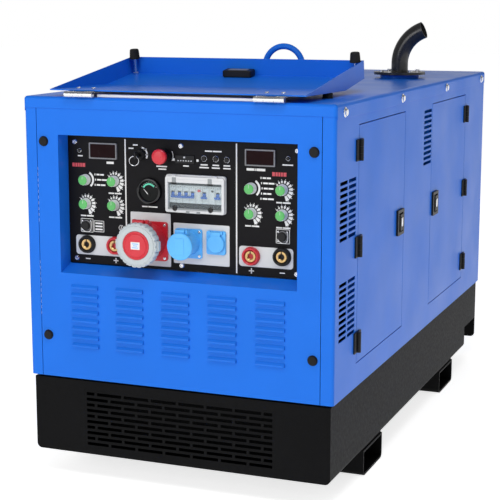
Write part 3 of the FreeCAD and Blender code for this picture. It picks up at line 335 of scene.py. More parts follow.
def turned(bm, profile, place, way="front", steps=48, flutes=0, flute_deep=0.0, flute_span=(0, 0),
           ring=False):
    """Add a solid of revolution from (radius, height) in millimetres; a ring's profile closes on itself."""
    rings = []
    turn = Matrix.Translation(Vector(place)) @ WAYS[way]
    for radius, height in profile:
        if radius < TINY:
            rings.append([bm.verts.new(turn @ Vector((0, 0, height * MM)))])
            continue
        loop = []
        for step in range(steps):
            angle = 2 * math.pi * step / steps
            reach = radius
            if flutes and flute_span[0] <= height <= flute_span[1]:
                reach -= flute_deep * max(0, math.cos(flutes * angle)) ** 2
            spot = Vector((reach * math.cos(angle), reach * math.sin(angle), height)) * MM
            loop.append(bm.verts.new(turn @ spot))
        rings.append(loop)
    loft(bm, rings, ring)


def join_rings(bm, low, high):
    count = max(len(low), len(high))
    for step in range(count):
        after = (step + 1) % count
        corners = []
        for ring, index in ((low, step), (low, after), (high, after), (high, step)):
            vert = ring[0] if len(ring) == 1 else ring[index]
            if vert not in corners:
                corners.append(vert)
        if len(corners) > 2:
            bm.faces.new(corners)


def rounded_loop(bm, low, high, depth, level, inset, reach, steps=5):
    """Points round a box at one level of its depth axis, inset, with corners of radius reach."""
    across, along = [index for index in range(3) if index != depth]
    loop = []
    for turn, (right, top) in enumerate(CORNERS):
        centre_u = high[across] - inset - reach if right else low[across] + inset + reach
        centre_v = high[along] - inset - reach if top else low[along] + inset + reach
        for step in range(steps + 1 if reach else 1):
            angle = math.radians(90 * (turn + step / steps))
            point = Vector((0, 0, 0))
            point[across] = centre_u + reach * math.cos(angle)
            point[along] = centre_v + reach * math.sin(angle)
            point[depth] = level
            loop.append(bm.verts.new(point))
    return loop


def slab(bm, low, high, axis="y", corner=0.0, edge=0.0):
    """Add a block with round corners about one axis and softened edges at both its ends."""
    depth = "xyz".index(axis)
    near, far = low[depth], high[depth]
    levels = [(near, edge), (near + edge, 0), (far - edge, 0), (far, edge)]
    if not edge:
        levels = [(near, 0), (far, 0)]
    rings = []
    for level, inset in levels:
        rings.append(rounded_loop(bm, low, high, depth, level, inset, max(corner - inset, 0)))
    loft(bm, rings)


def lay(bm, matrix):
    """Move everything in a bmesh by a matrix."""
    for vert in bm.verts:
        vert.co = matrix @ vert.co


def bolt(bm, radius, side, top, place, way, steps=6):
    """Add a bolt head, in millimetres: the height of its side, then of its slightly domed top."""
    turned(bm, [(0, 0), (radius, 0), (radius, side), (0, top)], place, way, steps)


def slab_piece(name, low, high, look, body="canopy", axis="y", corner=0.0, edge=0.0, slot=None):
    bm = bmesh.new()
    slab(bm, low, high, axis, corner, edge)
    return piece(name, bm, look, body, slot)


def turned_piece(name, profile, place, look, body="canopy", way="front", slot=None, **more):
    bm = bmesh.new()
    turned(bm, profile, place, way, **more)
    return piece(name, bm, look, body, slot)


def frame_piece(name, low, high, rim, look, body="canopy", axis="y", corner=0.004, edge=0.0006, slot=None):
    """A rectangular rim: an outer rounded loop, an inner loop, and the faces between them."""
    bm = bmesh.new()
    depth = "xyz".index(axis)
    back, front = low[depth], high[depth]
    outer = ((back, 0), (front - edge, 0), (front, edge))
    inner = ((front, rim - edge), (front - edge, rim), (back, rim))
    rings = []
    for level, inset in outer + inner:
        rings.append(rounded_loop(bm, low, high, depth, level, inset, max(corner - inset, RIM_REACH)))
    loft(bm, rings, closed=True)
    return piece(name, bm, look, body, slot)


def wire(name, points, radius, look, body="canopy", closed=False, slot=None):
    """A round bar or tube that follows smooth points."""
    data = bpy.data.curves.new(name, "CURVE")
    data.dimensions = "3D"
    data.bevel_depth = radius
    data.bevel_resolution = 3
    data.use_fill_caps = True
    spline = data.splines.new("NURBS")
    spline.points.add(len(points) - 1)
    for control, place in zip(spline.points, points):
        control.co = (*place, 1)
    spline.order_u = 4
    spline.use_endpoint_u = not closed
    spline.use_cyclic_u = closed
    thing = bpy.data.objects.new(name, data)
    bpy.context.scene.collection.objects.link(thing)
    data.materials.append(LOOKS[look])
    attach(thing, body)
    slot = slot or SLOTS[look]
    return thing


# ---------------------------------------------------------------- print on the control panel
PRINT_THICK = 0.0003
WEDGES = 10


def bar(bm, left, right, low, high):
    """A printed bar on the panel, as a thin raised plate."""
    slab(bm, (left, PANEL - PRINT_THICK, low), (right, PANEL, high))


def arc_bar(bm, x, z, near, far, start, end, steps=14, face=PANEL):
    """A printed ring segment on a face; angles are clockwise degrees from straight up."""
    rings = []
    for step in range(steps + 1):
        angle = math.radians(start + (end - start) * step / steps)
        out = Vector((math.sin(angle), 0, math.cos(angle)))
        centre = Vector((x, face, z))
        inner, outer = centre + out * near, centre + out * far
        lift = Vector((0, -PRINT_THICK, 0))
        rings.append([bm.verts.new(point) for point in (inner, outer, outer + lift, inner + lift)])
    loft(bm, rings)


def caption(bm, x, z, words, high=0.0034, gap=0.0016, centred=True):
    """A generic caption: short bars in place of words, which say nothing."""
    total = sum(words) + gap * (len(words) - 1)
    left = x - total / 2 if centred else x
    for long in words:
        bar(bm, left, left + long, z - high / 2, z + high / 2)
        left += long + gap


def knob_print(bm, x, z, kind):
    """The marks round a knob: a fan of lines for a selector, a growing wedge of steps for a level."""
    if kind == "fan":
        arc_bar(bm, x, z, 0.0185, 0.024, 30, 140)
        rows, pitch = (5, 0.013) if x > 0 else (3, 0.0135)
        for row in range(rows):
            spread = row - (rows - 1) / 2
            height = z + 0.001 - spread * pitch
            long = 0.02 + 0.004 * ((row * 2) % 3)
            reach = x + 0.0285 - abs(spread) * 0.0015
            bar(bm, reach - 0.0013, reach + 0.0013, height - 0.0026, height + 0.0026)
            caption(bm, reach + 0.0045, height, (long * 0.45, long * 0.55), 0.0042, centred=False)
        return
    for number in range(WEDGES):
        start = -58 + 22.5 * number
        grow = number / (WEDGES - 1)
        span = 12.0 + 6.5 * grow
        centre = start + span / 2
        far = 0.0205 + 0.0092 * grow
        arc_bar(bm, x, z, 0.0165, far, start, start + span, 4)
        arc_bar(bm, x, z, far + 0.0012, far + 0.0036, centre - 1.6, centre + 1.6, 2)
    caption(bm, x + 0.002, z - 0.0325, (0.016, 0.02), 0.0038)


# centre, height on the panel and the lengths of the words
CAPTIONS = (
    (-0.292, 0.866, (0.014,)), (0.284, 0.866, (0.028,)), (0.01, 0.852, (0.016,)), (0.06, 0.857, (0.02,)),
    (0.06, 0.85, (0.026,)), (0.092, 0.857, (0.018,)), (0.092, 0.85, (0.022,)), (0.122, 0.857, (0.018,)),
    (0.122, 0.85, (0.02,)), (0.085, 0.892, (0.02, 0.024)), (-0.058, 0.848, (0.03,)),
    (-0.056, 0.841, (0.022,)), (-0.093, 0.742, (0.016, 0.026)), (-0.132, 0.9, (0.014,)),
    (-0.144, 0.891, (0.014,)), (-0.104, 0.89, (0.008,)), (-0.1, 0.876, (0.006,)),
)
STICKER = (-0.256, -0.226, 0.667, 0.697)
STICKER_RIM = 0.0015
REMOTE_FRAME = 0.0175


def panel_print():
    bm = bmesh.new()
    for x in (-0.161, 0.148):
        bar(bm, x - 0.0018, x + 0.0018, 0.585, 0.914)
    for node, kind in KNOB_NODES.items():
        place = middle(node)
        knob_print(bm, place.x, place.z, kind)
    for x, words in ((-0.205, (0.021,)), (0.2, (0.02, 0.003, 0.024))):
        caption(bm, x, 0.851, words, 0.0062)
    for x, z, words in CAPTIONS:
        caption(bm, x, z, words)
    for x, z, red in WELD_SOCKETS.values():
        bar(bm, x - 0.007, x + 0.007, 0.5925, 0.5955)
        if red:
            bar(bm, x - 0.0015, x + 0.0015, 0.587, 0.601)
    for x in (-0.024, 0.042):
        bar(bm, x - 0.003, x + 0.003, 0.864, 0.87)
    arc_bar(bm, -0.117, 0.876, 0.0165, 0.0205, 10, 120)
    arc_bar(bm, -0.05, 0.876, 0.0235, 0.025, 60, 120)
    arc_bar(bm, -0.176, 0.682, 0.006, 0.0073, 0, 360, 20)
    bar(bm, -0.1768, -0.1752, 0.68, 0.6875)
    for step in range(3):
        shrink, drop = 0.001 * step, 0.002 * step
        bar(bm, -0.1795 + shrink, -0.1725 - shrink, 0.6788 - drop, 0.6796 - drop)
    left, right, low, high = STICKER
    bar(bm, left, left + STICKER_RIM, low, high)
    bar(bm, right - STICKER_RIM, right, low, high)
    bar(bm, left, right, high - STICKER_RIM, high)
    bar(bm, left, right, low, low + STICKER_RIM)
    for row in range(3):
        caption(bm, (left + right) / 2, 0.69 - 0.008 * row, (0.021,), 0.0042)
    for x, z in REMOTES.values():
        for side in (-REMOTE_FRAME, REMOTE_FRAME):
            bar(bm, x + side - 0.0008, x + side + 0.0008, z - REMOTE_FRAME, z + REMOTE_FRAME)
            bar(bm, x - REMOTE_FRAME, x + REMOTE_FRAME, z + side - 0.0008, z + side + 0.0008)
    piece("panel_print", bm, "print", slot="panel_paint")
    bm = bmesh.new()
    for x in (-0.297, 0.262):
        caption(bm, x, 0.842, (0.0072, 0.0058, 0.0052, 0.005, 0.0078), 0.01)
    piece("panel_titles", bm, "caption_red")


# ---------------------------------------------------------------- instruments
DIAL_STEPS = 16
TICK_TURN = 1.2


def instruments():
    stands = None
    for side, left, right in (("left", -0.264, -0.184), ("right", 0.172, 0.252)):
        rim = frame_piece(f"{side}_meter_bezel", (left, PANEL, 0.86), (right, PANEL - 0.0045, 0.902),
            0.0035, "bezel", corner=0.002, slot="dark_glass")
        slab_piece(f"{side}_meter_glass", (left + 0.003, PANEL - 0.0032, 0.863),
            (right - 0.003, PANEL, 0.899), "display", edge=0.0004)
        stands = stands or rim
    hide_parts("panel_meters")
    slab_piece("hour_meter_body", (-0.019, PANEL - 0.003, 0.858), (0.034, PANEL, 0.879), "plastic",
        corner=0.002, edge=0.0008, slot="dark_glass")
    bm = bmesh.new()
    for number in range(6):
        left = -0.012 + 0.0072 * number
        slab(bm, (left, PANEL - 0.0036, 0.864), (left + 0.0035, PANEL - 0.003, 0.8665))
    slab(bm, (0.004, PANEL - 0.0036, 0.872), (0.009, PANEL - 0.003, 0.876))
    piece("hour_meter_marks", bm, "label", slot="dark_glass")
    x, z = GAUGE
    turned_piece("gauge_rim", [(26, 1), (26.5, 7), (28, 8.8), (30.5, 9), (33.2, 7.6), (34.5, 4), (34.5, 0)],
        (x, PANEL, z), "gloss", steps=96)
    turned_piece("gauge_face", [(0, 0), (26.2, 0), (26.2, 3), (0, 3)], (x, PANEL, z), "gauge_face",
        steps=64)
    dial = PANEL - 0.003
    bm = bmesh.new()
    arc_bar(bm, x, z, 0.016, 0.0205, -62, 50, DIAL_STEPS, dial)
    piece("gauge_green_arc", bm, "mint")
    bm = bmesh.new()
    for number in range(9):
        angle = -60 + 15 * number
        far = 0.0245 if number % 4 == 0 else 0.0232
        arc_bar(bm, x, z, 0.0214, far, angle - TICK_TURN, angle + TICK_TURN, DIAL_STEPS, dial)
    piece("gauge_ticks", bm, "print")
    bm = bmesh.new()
    tip = Vector((x - 0.015, dial - 0.0012, z + 0.0055))
    root = Vector((x - 0.001, dial - 0.0012, z - 0.01))
    side = (tip - root).cross(Vector((0, 1, 0))).normalized()
    corners = [root + side * 0.0011, root - side * 0.0011, tip - side * 0.0004, tip + side * 0.0004]
    lower = [bm.verts.new(point) for point in corners]
    upper = [bm.verts.new(point + Vector((0, -0.0006, 0))) for point in corners]
    loft(bm, [lower, upper])
    piece("gauge_needle", bm, "print")
    turned_piece("gauge_hub", [(0, 0), (3.5, 0), (3.2, 2), (0, 2.4)], (x - 0.001, dial, z - 0.01),
        "plastic", steps=24, slot="dark_glass")
    for number, (x, z, radius) in enumerate(LAMPS):
        inner, outer, crest = radius + 0.2, radius + 1.4, radius + 0.8
        turned_piece(f"lamp_ring_{number + 1}", [(inner, 0), (outer, 0), (outer, 1.1), (crest, 1.6),
            (inner, 1.1)], (x, PANEL, z), "zinc", steps=40, ring=True, slot="lamp_plastic")


def knobs():
    for node in KNOB_NODES:
        low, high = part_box(node)
        x, z = (low.x + high.x) / 2, (low.z + high.z) / 2
        base = (x, high.y, z)
        skirt = turned_piece(f"{node}_body", [(0, 0), (14.3, 0), (14.5, 0.8), (14.5, 4.2), (14, 5),
            (13.7, 11), (13.3, 16.8), (12.6, 18), (0, 18)], base, "knob", node, steps=108, flutes=18,
            flute_deep=0.9, flute_span=(4.5, 17.2))
        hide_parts(node)
        turned_piece(f"{node}_cap", [(0, 15.5), (12.1, 15.5), (12.5, 18), (12.3, 19.2), (11, 20), (6, 20.4),
            (0, 20.5)], base, "green", node, steps=72, flutes=12, flute_deep=0.5, flute_span=(15, 19.3))
        slab_piece(f"{node}_pointer", (x - 0.0004, high.y - 0.0207, z + 0.002),
            (x + 0.0004, high.y - 0.0196, z + 0.0112), "label", node, slot="green_knob")


# ---------------------------------------------------------------- sockets
def welding_sockets():
    first = None
    for name, (x, z, red) in WELD_SOCKETS.items():
        look = "red" if red else "plastic"
        collar = turned_piece(f"{name}_collar", [(12.9, 0), (23.7, 0), (24, 2), (23.8, 3.8), (22.6, 4.8),
            (22.6, 10.8), (21.4, 12.8), (18.6, 12.9), (16.8, 11.5), (15.7, 6), (14.8, 5), (14.8, 2),
            (12.9, 2)], (x, PANEL, z), look, steps=96, flutes=24, flute_deep=0.7, flute_span=(4.7, 10.9),
            slot="socket_plastic")
        first = first or collar
        turned_piece(f"{name}_contact", [(0, -29), (12.8, -29), (12.8, 2.2), (14.7, 2.2), (14.7, 8),
            (13.8, 9), (8.6, 8.8), (7, 7.4), (6.7, -26), (0, -26)], (x, PANEL, z), "brass", steps=64)
        slab_piece(f"{name}_key_slot", (x - 0.0013, PANEL - 0.0092, z + 0.0072),
            (x + 0.0013, PANEL - 0.0086, z + 0.0142), "plastic", slot="socket_plastic")
    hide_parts("welding_sockets")
    for side, left, right in (("left", -0.309, -0.166), ("right", 0.155, 0.3)):
        plate = slab_piece(f"{side}_socket_plate", (left, PANEL - 0.0012, 0.605), (right, PANEL, 0.657),
            "label", corner=0.008, edge=0.0003)
        punch(plate, [(x, z) for x, z, _ in WELD_SOCKETS.values() if left < x < right], 13.8)


def punch(plate, centres, radius):
    """Cut round holes, their radius in millimetres, through a plate that lies on the panel."""
    bm = bmesh.new()
    for x, z in centres:
        turned(bm, [(0, -10), (radius, -10), (radius, 10), (0, 10)], (x, PANEL, z))
    mesh = bpy.data.meshes.new("punch")
    bm.to_mesh(mesh)
    bm.free()
    tool = bpy.data.objects.new("punch", mesh)
    bpy.context.scene.collection.objects.link(tool)
    cut = plate.modifiers.new("holes", "BOOLEAN")
    cut.operation = "DIFFERENCE"
    cut.solver = "EXACT"
    cut.object = tool
    depsgraph = bpy.context.evaluated_depsgraph_get()
    plate.data = bpy.data.meshes.new_from_object(plate.evaluated_get(depsgraph))
    plate.modifiers.clear()
    bpy.data.objects.remove(tool)


def remote_connectors():
    first = None
    for side, (x, z) in REMOTES.items():
        flange = slab_piece(f"{side}_remote_flange", (x - 0.015, PANEL - 0.0025, z - 0.015),
            (x + 0.015, PANEL, z + 0.015), "plastic", corner=0.0015, edge=0.0005)
        first = first or flange
        turned_piece(f"{side}_remote_cap", [(0, 2), (11.8, 2), (12.5, 2.8), (12.5, 12.5), (11.2, 14.5),
            (0, 15)], (x, PANEL, z), "plastic", steps=80, flutes=20, flute_deep=0.9, flute_span=(2.6, 13))
        corner_screws(f"{side}_remote_screws", x, z, 0.0118, 0.0118, PANEL - 0.0024,
            [(0, 0), (2.4, 0), (2.2, 1.2), (0, 1.5)], 16, "black_plastic")
        turned_piece(f"{side}_remote_collar", [(12.7, 2), (14, 2), (14, 5), (12.7, 5.8)], (x, PANEL, z),
            "bezel")
        loops = [(x - 0.01, PANEL - 0.0135, z - 0.004), (x - 0.004, PANEL - 0.016, z - 0.012),
            (x + 0.008, PANEL - 0.014, z - 0.017), (x + 0.016, PANEL - 0.009, z - 0.012),
            (x + 0.015, PANEL - 0.0035, z - 0.002), (x + 0.0135, PANEL - 0.003, z + 0.011)]
        wire(f"{side}_remote_cord", loops, 0.0009, "cord")
    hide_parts("remote_connectors")


def three_phase():
    x, z = THREE_PHASE
    start = PANEL - 0.0635
    rim = turned_piece("three_phase_ring", [(44, 0.5), (54.5, 0), (56.5, 1.5), (57.5, 4), (57.5, 22.5),
        (56.2, 25), (54, 25.8), (53, 24.6), (50, 24.6), (49, 26.2), (40, 27), (37.2, 26.2), (36.6, 23.5)],
        (x, start, z), "ring", "three_phase_cap", steps=192, flutes=24, flute_deep=2.8,
        flute_span=(1.5, 25.2))
    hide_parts("three_phase_cap")
    turned_piece("three_phase_dome", [(0, 20), (36.4, 20), (36.4, 26.2), (35.4, 27.6), (33, 27.9),
        (31.8, 26.6), (30, 26.6), (29, 28.1), (27, 28.6), (0, 29)], (x, start, z), "red", "three_phase_cap",
        steps=96)
    slab_piece("three_phase_tag", (x - 0.0125, start - 0.0296, z - 0.0095),
        (x + 0.0125, start - 0.0282, z + 0.0095), "print", "three_phase_cap", corner=0.001,
        slot="red_plastic")
    bm = bmesh.new()
    for row, long in enumerate((0.0085, 0.006, 0.0085)):
        height = z + 0.005 - 0.005 * row
        slab(bm, (x - long, start - 0.0298, height - 0.001), (x + long, start - 0.0296, height + 0.001))
    piece("three_phase_tag_marks", bm, "blue", "three_phase_cap", "red_plastic")
    for side, centre in (("left", x - 0.0565), ("right", x + 0.0565)):
        slab_piece(f"three_phase_grip_{side}", (centre - 0.004, start - 0.019, z - 0.013),
            (centre + 0.004, start - 0.006, z + 0.013), "ring", "three_phase_cap", "x", 0.003, 0.001)
    slab_piece("three_phase_hinge_eye", (x - 0.013, start - 0.01, z + 0.052),
        (x + 0.013, start + 0.0035, z + 0.0625), "red", "three_phase_cap", "x", 0.003, 0.0008)
    slab_piece("three_phase_plate", (-0.148, PANEL - 0.0014, 0.588), (-0.034, PANEL, 0.727), "label",
        corner=0.003, edge=0.0003)
    corner_screws("three_phase_screws", x, OUTLET_SCREWS, 0.042, 0.043, PANEL - 0.0068)


# profile of the screws that hold the outlets' plates
OUTLET_SCREW = ((0, 0), (4.2, 0), (3.8, 1.6), (1.8, 2), (1.4, 0.8), (0, 0.8))


def corner_screws(name, x, z, across, up, face, profile=OUTLET_SCREW, steps=24, slot="bright_zinc"):
    """Four screws at the corners of a rectangle round (x, z), as one piece."""
    bm = bmesh.new()
    for side in (-across, across):
        for lift in (-up, up):
            turned(bm, profile, (x + side, face, z + lift), "front", steps)
    piece(name, bm, "zinc", slot=slot)


def single_phase():
    x, z = SINGLE_PHASE
    start = PANEL - 0.0535
    lid = turned_piece("single_phase_lid_dome", [(26, 0.5), (34.5, 0), (35, 1), (35, 8.5), (33.5, 10.5),
        (30, 11.5), (0, 11.8), (0, 5), (26, 5)], (x, start, z), "blue", "single_phase_lid", steps=80)
    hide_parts("single_phase_lid")
    slab_piece("single_phase_lid_rib", (x - 0.013, start - 0.0124, z - 0.022),
        (x + 0.013, start - 0.0112, z + 0.022), "blue", "single_phase_lid", corner=0.004, edge=0.0004)
    slab_piece("single_phase_hinge_eye", (x - 0.0105, start - 0.0045, z + 0.0325),
        (x + 0.0105, start + 0.0075, z + 0.0418), "blue", "single_phase_lid", "x", 0.0025, 0.0006)
    slab_piece("single_phase_plate", (-0.026, PANEL - 0.0014, 0.6), (0.129, PANEL, 0.705), "label",
        corner=0.003, edge=0.0003)
    corner_screws("single_phase_screws", x, OUTLET_SCREWS, 0.03, 0.031, PANEL - 0.0058)


def domestic():
    x, z = DOMESTIC
    start = PANEL - 0.008
    flap = turned_piece("domestic_flap", [(0, 0), (23.6, 0), (24, 0.6), (23.8, 3.5), (21.5, 4.9), (15, 4.4),
        (0, 4.2)], (x, start, z), "blue", "domestic_lid", steps=64)
    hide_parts("domestic_socket_lid")
    slab_piece("domestic_flap_hinge", (x - 0.0135, start - 0.0044, z + 0.013),
        (x + 0.0135, start + 0.0002, z + 0.0305), "blue", "domestic_lid", "x", 0.0018, 0.0005)


# ---------------------------------------------------------------- breakers
def window_slab(part, low, high, look, corner=0.0, edge=0.0004, slot="clear_plastic"):
    """A part of the clear window that rides on it."""
    slab_piece(f"breaker_window_{part}", low, high, look, "breaker_window", "y", corner, edge, slot)


def breaker_window():
    low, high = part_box("breaker_window")
    left, right, face = low.x + 0.0065, high.x - 0.0065, low.y
    rim = frame_piece("breaker_window_rim", (low.x, high.y, low.z), (high.x, face, high.z - 0.003), 0.007,
        "grey", "breaker_window", corner=0.006)
    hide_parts("breaker_window")
    window_slab("pane", (low.x + 0.006, face + 0.0006, low.z + 0.006),
        (high.x - 0.006, face + 0.0015, high.z - 0.009), "clear", 0.003, 0.0003)
    window_slab("top_band", (left, face + 0.0001, high.z - 0.0185), (right, face + 0.0046, high.z - 0.009),
        "grey")
    window_slab("foot_band", (left, face + 0.0004, low.z + 0.006), (right, face + 0.0026, low.z + 0.011),
        "trim", edge=0.0003)
    for name, share in (("left", 0.15), ("right", 0.76)):
        x = low.x + (high.x - low.x) * share
        turned_piece(f"breaker_window_latch_{name}", [(0, 0), (6.8, 0), (6.8, 2.6), (5.6, 3.6), (3, 3.6),
            (2.6, 2.6), (0, 2.6)], (x + 0.002, face + 0.0015, low.z + 0.0105), "gloss", "breaker_window",
            steps=40, slot="black_plastic")
        window_slab(f"clip_{name}", (x - 0.0055, face - 0.0008, high.z - 0.0205),
            (x + 0.0055, face + 0.0014, high.z - 0.0055), "trim", 0.0015, 0.0005)
        window_slab(f"clip_foot_{name}", (x - 0.0072, face - 0.0012, high.z - 0.0225),
            (x + 0.0072, face + 0.001, high.z - 0.0185), "plastic", 0.0012, slot="black_plastic")
    x = (low.x + high.x) / 2 - 0.004
    window_slab("tab", (x - 0.02, face - 0.0004, low.z - 0.001), (x + 0.02, face + 0.0014, low.z + 0.005),
        "trim", 0.002)
    window_slab("tab_lip", (x - 0.01, face - 0.0012, low.z - 0.0002),
        (x + 0.01, face + 0.0004, low.z + 0.0042), "grey", 0.002)


# the breakers' pitch and number, the poles with a test button and a flag, then the levers and shutters
POLE = 0.01825
POLES = 8
TEST_POLE = 4
FLAG_POLE = 6
LEVER_WIDE = 0.0085
LEVER_LONG = 0.0122
LEVER_DROOP = 40
HUB = Vector((0, PANEL, 0.781))
LINK_DROOPS = (26, 34, 42, 50, 56)
SHUTTER_FOOT, SHUTTER_HEAD = 0.7652, 0.7968
SHUTTER_FACE = PANEL - 0.0041
TOGGLES = (
    ("main_breaker_toggle", "main_toggle", (0, 1, 2, 3)),
    ("left_breaker_toggle", "left_toggle", (5,)),
    ("right_breaker_toggle", "right_toggle", (7,)),
)


def breaker_row():
    low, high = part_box("breakers")
    seams = bmesh.new()
    dots = bmesh.new()
    for number in range(POLES):
        left = low.x + POLE * number
        seam = left + POLE
        slab(seams, (seam - 0.0003, low.y - 0.0002, low.z), (seam + 0.0003, low.y, high.z))
        for row in range(2):
            across = left + 0.005 + 0.0062 * ((number + row) % 2)
            top = high.z - 0.0022 - 0.0008 * row
            slab(dots, (across, low.y - 0.0003, top - 0.0028), (across + 0.0022, low.y, top))
    piece("breaker_seams", seams, "bezel", slot="grey_plastic")
    piece("breaker_marks", dots, "bezel", slot="grey_plastic")
    left = low.x + POLE * TEST_POLE
    slab_piece("breaker_test_button", (left + 0.005, low.y - 0.0012, high.z - 0.015),
        (left + 0.0135, low.y, high.z - 0.009), "red", corner=0.001, edge=0.0003)
    left = low.x + POLE * FLAG_POLE
    slab_piece("breaker_flag", (left + 0.006, low.y - 0.0008, high.z - 0.014),
        (left + 0.0125, low.y, high.z - 0.0095), "plastic", corner=0.001, edge=0.0003)
    for node, body, poles in TOGGLES:
        breaker_lever(node, body, poles, low.x)


def breaker_lever(node, body, poles, row_left):
    """Blue levers on one drum, linked by a bar, and the pale shutters that stand between them."""
    low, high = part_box(node)
    lie = Matrix.Translation(HUB) @ Matrix.Rotation(math.radians(LEVER_DROOP), 4, "X")
    centres = [row_left + POLE * (pole + 0.5) for pole in poles]
    if len(poles) == 1:
        centres = [(low.x + high.x) / 2]
    bm = bmesh.new()
    for centre in centres:
        left, right = centre - LEVER_WIDE / 2, centre + LEVER_WIDE / 2
        slab(bm, (left, -LEVER_LONG, -0.002), (right, 0.0, 0.002), "x", 0.001, 0.0004)
    lay(bm, lie)
    rings = []
    for across in (low.x, high.x):
        ring = []
        for radius, droops in ((0.0125, LINK_DROOPS), (0.0097, LINK_DROOPS[::-1])):
            for droop in droops:
                angle = math.radians(droop)
                spot = (across, HUB.y - radius * math.cos(angle), HUB.z - radius * math.sin(angle))
                ring.append(bm.verts.new(spot))
        rings.append(ring)
    loft(bm, rings)
    lever = piece(f"{node}_levers", bm, "toggle", body)
    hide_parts(node)
    wide = (high.x - low.x) / MM
    turned_piece(f"{node}_drum", [(0, 0), (4, 0), (4, wide), (0, wide)], (low.x, HUB.y, HUB.z), "toggle",
        body, "right", steps=32)
    gaps = [low.x - 0.0008] + [edge for centre in centres for edge in (centre - 0.0048, centre + 0.0048)]
    gaps.append(high.x + 0.0008)
    bm = bmesh.new()
    for left, right in zip(gaps[0::2], gaps[1::2]):
        if right - left > 0.0005:
            slab(bm, (left, SHUTTER_FACE - 0.0009, SHUTTER_FOOT), (right, SHUTTER_FACE, SHUTTER_HEAD))
    for foot, head in ((SHUTTER_FOOT, 0.7738), (0.7884, SHUTTER_HEAD)):
        slab(bm, (gaps[0], SHUTTER_FACE - 0.001, foot), (gaps[-1], SHUTTER_FACE, head))
    piece(f"{node}_shutter", bm, "breaker")


# ---------------------------------------------------------------- switches
def emergency_stop():
    low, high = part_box("emergency_stop_button")
    x, z = (low.x + high.x) / 2, (low.z + high.z) / 2
    tip, back = low.y, PANEL - 0.001
    reach = (back - tip) / MM
    head = turned_piece("emergency_head", [(0, 0), (7.8, 0), (7.8, reach - 15), (12.5, reach - 14.5),
        (18, reach - 13.5), (19.8, reach - 11), (20, reach - 7.5), (19, reach - 3.5), (16, reach - 1.2),
        (11, reach - 0.2), (0, reach)], (x, back, z), "red", "emergency_button", steps=80)
    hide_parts("emergency_stop_button")
    bm = bmesh.new()
    for number in range(3):
        angle = math.radians(120 * number + 20)
        across, up = x + 0.0125 * math.cos(angle), z + 0.0125 * math.sin(angle)
        slab(bm, (across - 0.0016, tip - 0.0001, up - 0.0016), (across + 0.0016, tip + 0.0012, up + 0.0016))
    piece("emergency_arrows", bm, "red", "emergency_button")


RING_STEPS = 12


def key():
    low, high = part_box("ignition_key")
    x, z = (low.x + high.x) / 2, (low.z + high.z) / 2
    blade = slab_piece("key_blade", (x - 0.0011, low.y + 0.019, z - 0.0038),
        (x + 0.0011, high.y, z + 0.0038), "chrome", "key", "x", 0.0008, 0.0002, slot="key_metal")
    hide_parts("ignition_key")
    slab_piece("key_head", (x - 0.0022, low.y, z - 0.0105), (x + 0.0022, low.y + 0.021, z + 0.0105),
        "plastic", "key", "x", 0.005, 0.0007, slot="key_metal")
    ring_middle = Vector((x - 0.004, low.y + 0.005, z - 0.0135))
    loop = []
    for step in range(RING_STEPS):
        angle = 2 * math.pi * step / RING_STEPS
        swing = Vector((math.cos(angle) * 0.0125, math.cos(angle) * 0.003, math.sin(angle) * 0.0125))
        loop.append(ring_middle + swing)
    wire("key_ring", loop, 0.0009, "chrome", "key", closed=True, slot="key_metal")


# ---------------------------------------------------------------- cover
COVER_TILT = math.radians(7.8)
COVER_EDGE = Vector((0, FRONT_SHEET + 0.0008, ROOF_PLATE + 0.019))
COVER_LIE = Matrix.Translation(COVER_EDGE) @ Matrix.Rotation(COVER_TILT, 4, "X")
WAYS["cover"] = Matrix.Rotation(COVER_TILT, 4, "X")


def cover_trim():
    """Cones, latch box and hinge screws, placed on the tilted cover by its own lengths."""
    first = None
    for name, x in (("left", -0.329), ("right", 0.329)):
        foot = COVER_LIE @ Vector((x, 0.46, -0.047))
        cone = turned_piece(f"{name}_bumper_cone", [(0, 45), (15, 45), (15, 47.5), (14.4, 49), (13.4, 64),
            (12.4, 70.5), (10.8, 72), (4, 72), (3.6, 69), (0, 69)], foot, "rubber", "cover", "cover")
        first = first or cone
        turned_piece(f"{name}_bumper_stud", [(0, 0), (5, 0), (5, 45.2), (0, 45.2)], foot, "zinc", "cover",
            "cover", steps=32)
        turned_piece(f"{name}_bumper_nut", [(0, 0), (8.5, 0), (8.5, 6), (7.5, 7.2), (0, 7.2)], foot, "zinc",
            "cover", "cover", steps=6)
    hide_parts("cover_bumpers")
    bm = bmesh.new()
    slab(bm, (-0.052, 0.438, -0.047), (0.034, 0.4755, -0.0275), "z", 0.006, 0.003)
    lay(bm, COVER_LIE)
    box = piece("cover_latch_box", bm, "plastic", "cover")
    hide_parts("cover_handle")
    bm = bmesh.new()
    slab(bm, (-0.038, 0.446, -0.0276), (0.02, 0.466, -0.0268), "z", 0.004, 0.0003)
    lay(bm, COVER_LIE)
    piece("cover_latch_plate", bm, "bezel", "cover")
    bm = bmesh.new()
    for left in (-0.298, 0.219):
        for x in (left + 0.018, left + 0.061):
            turned(bm, [(0, 0), (5.8, 0), (5.2, 1), (2.4, 1.4), (0, 1)],
                COVER_LIE @ Vector((x, 0.03, -0.0012)), "cover", 24)
    piece("cover_hinge_screws", bm, "zinc", "cover")


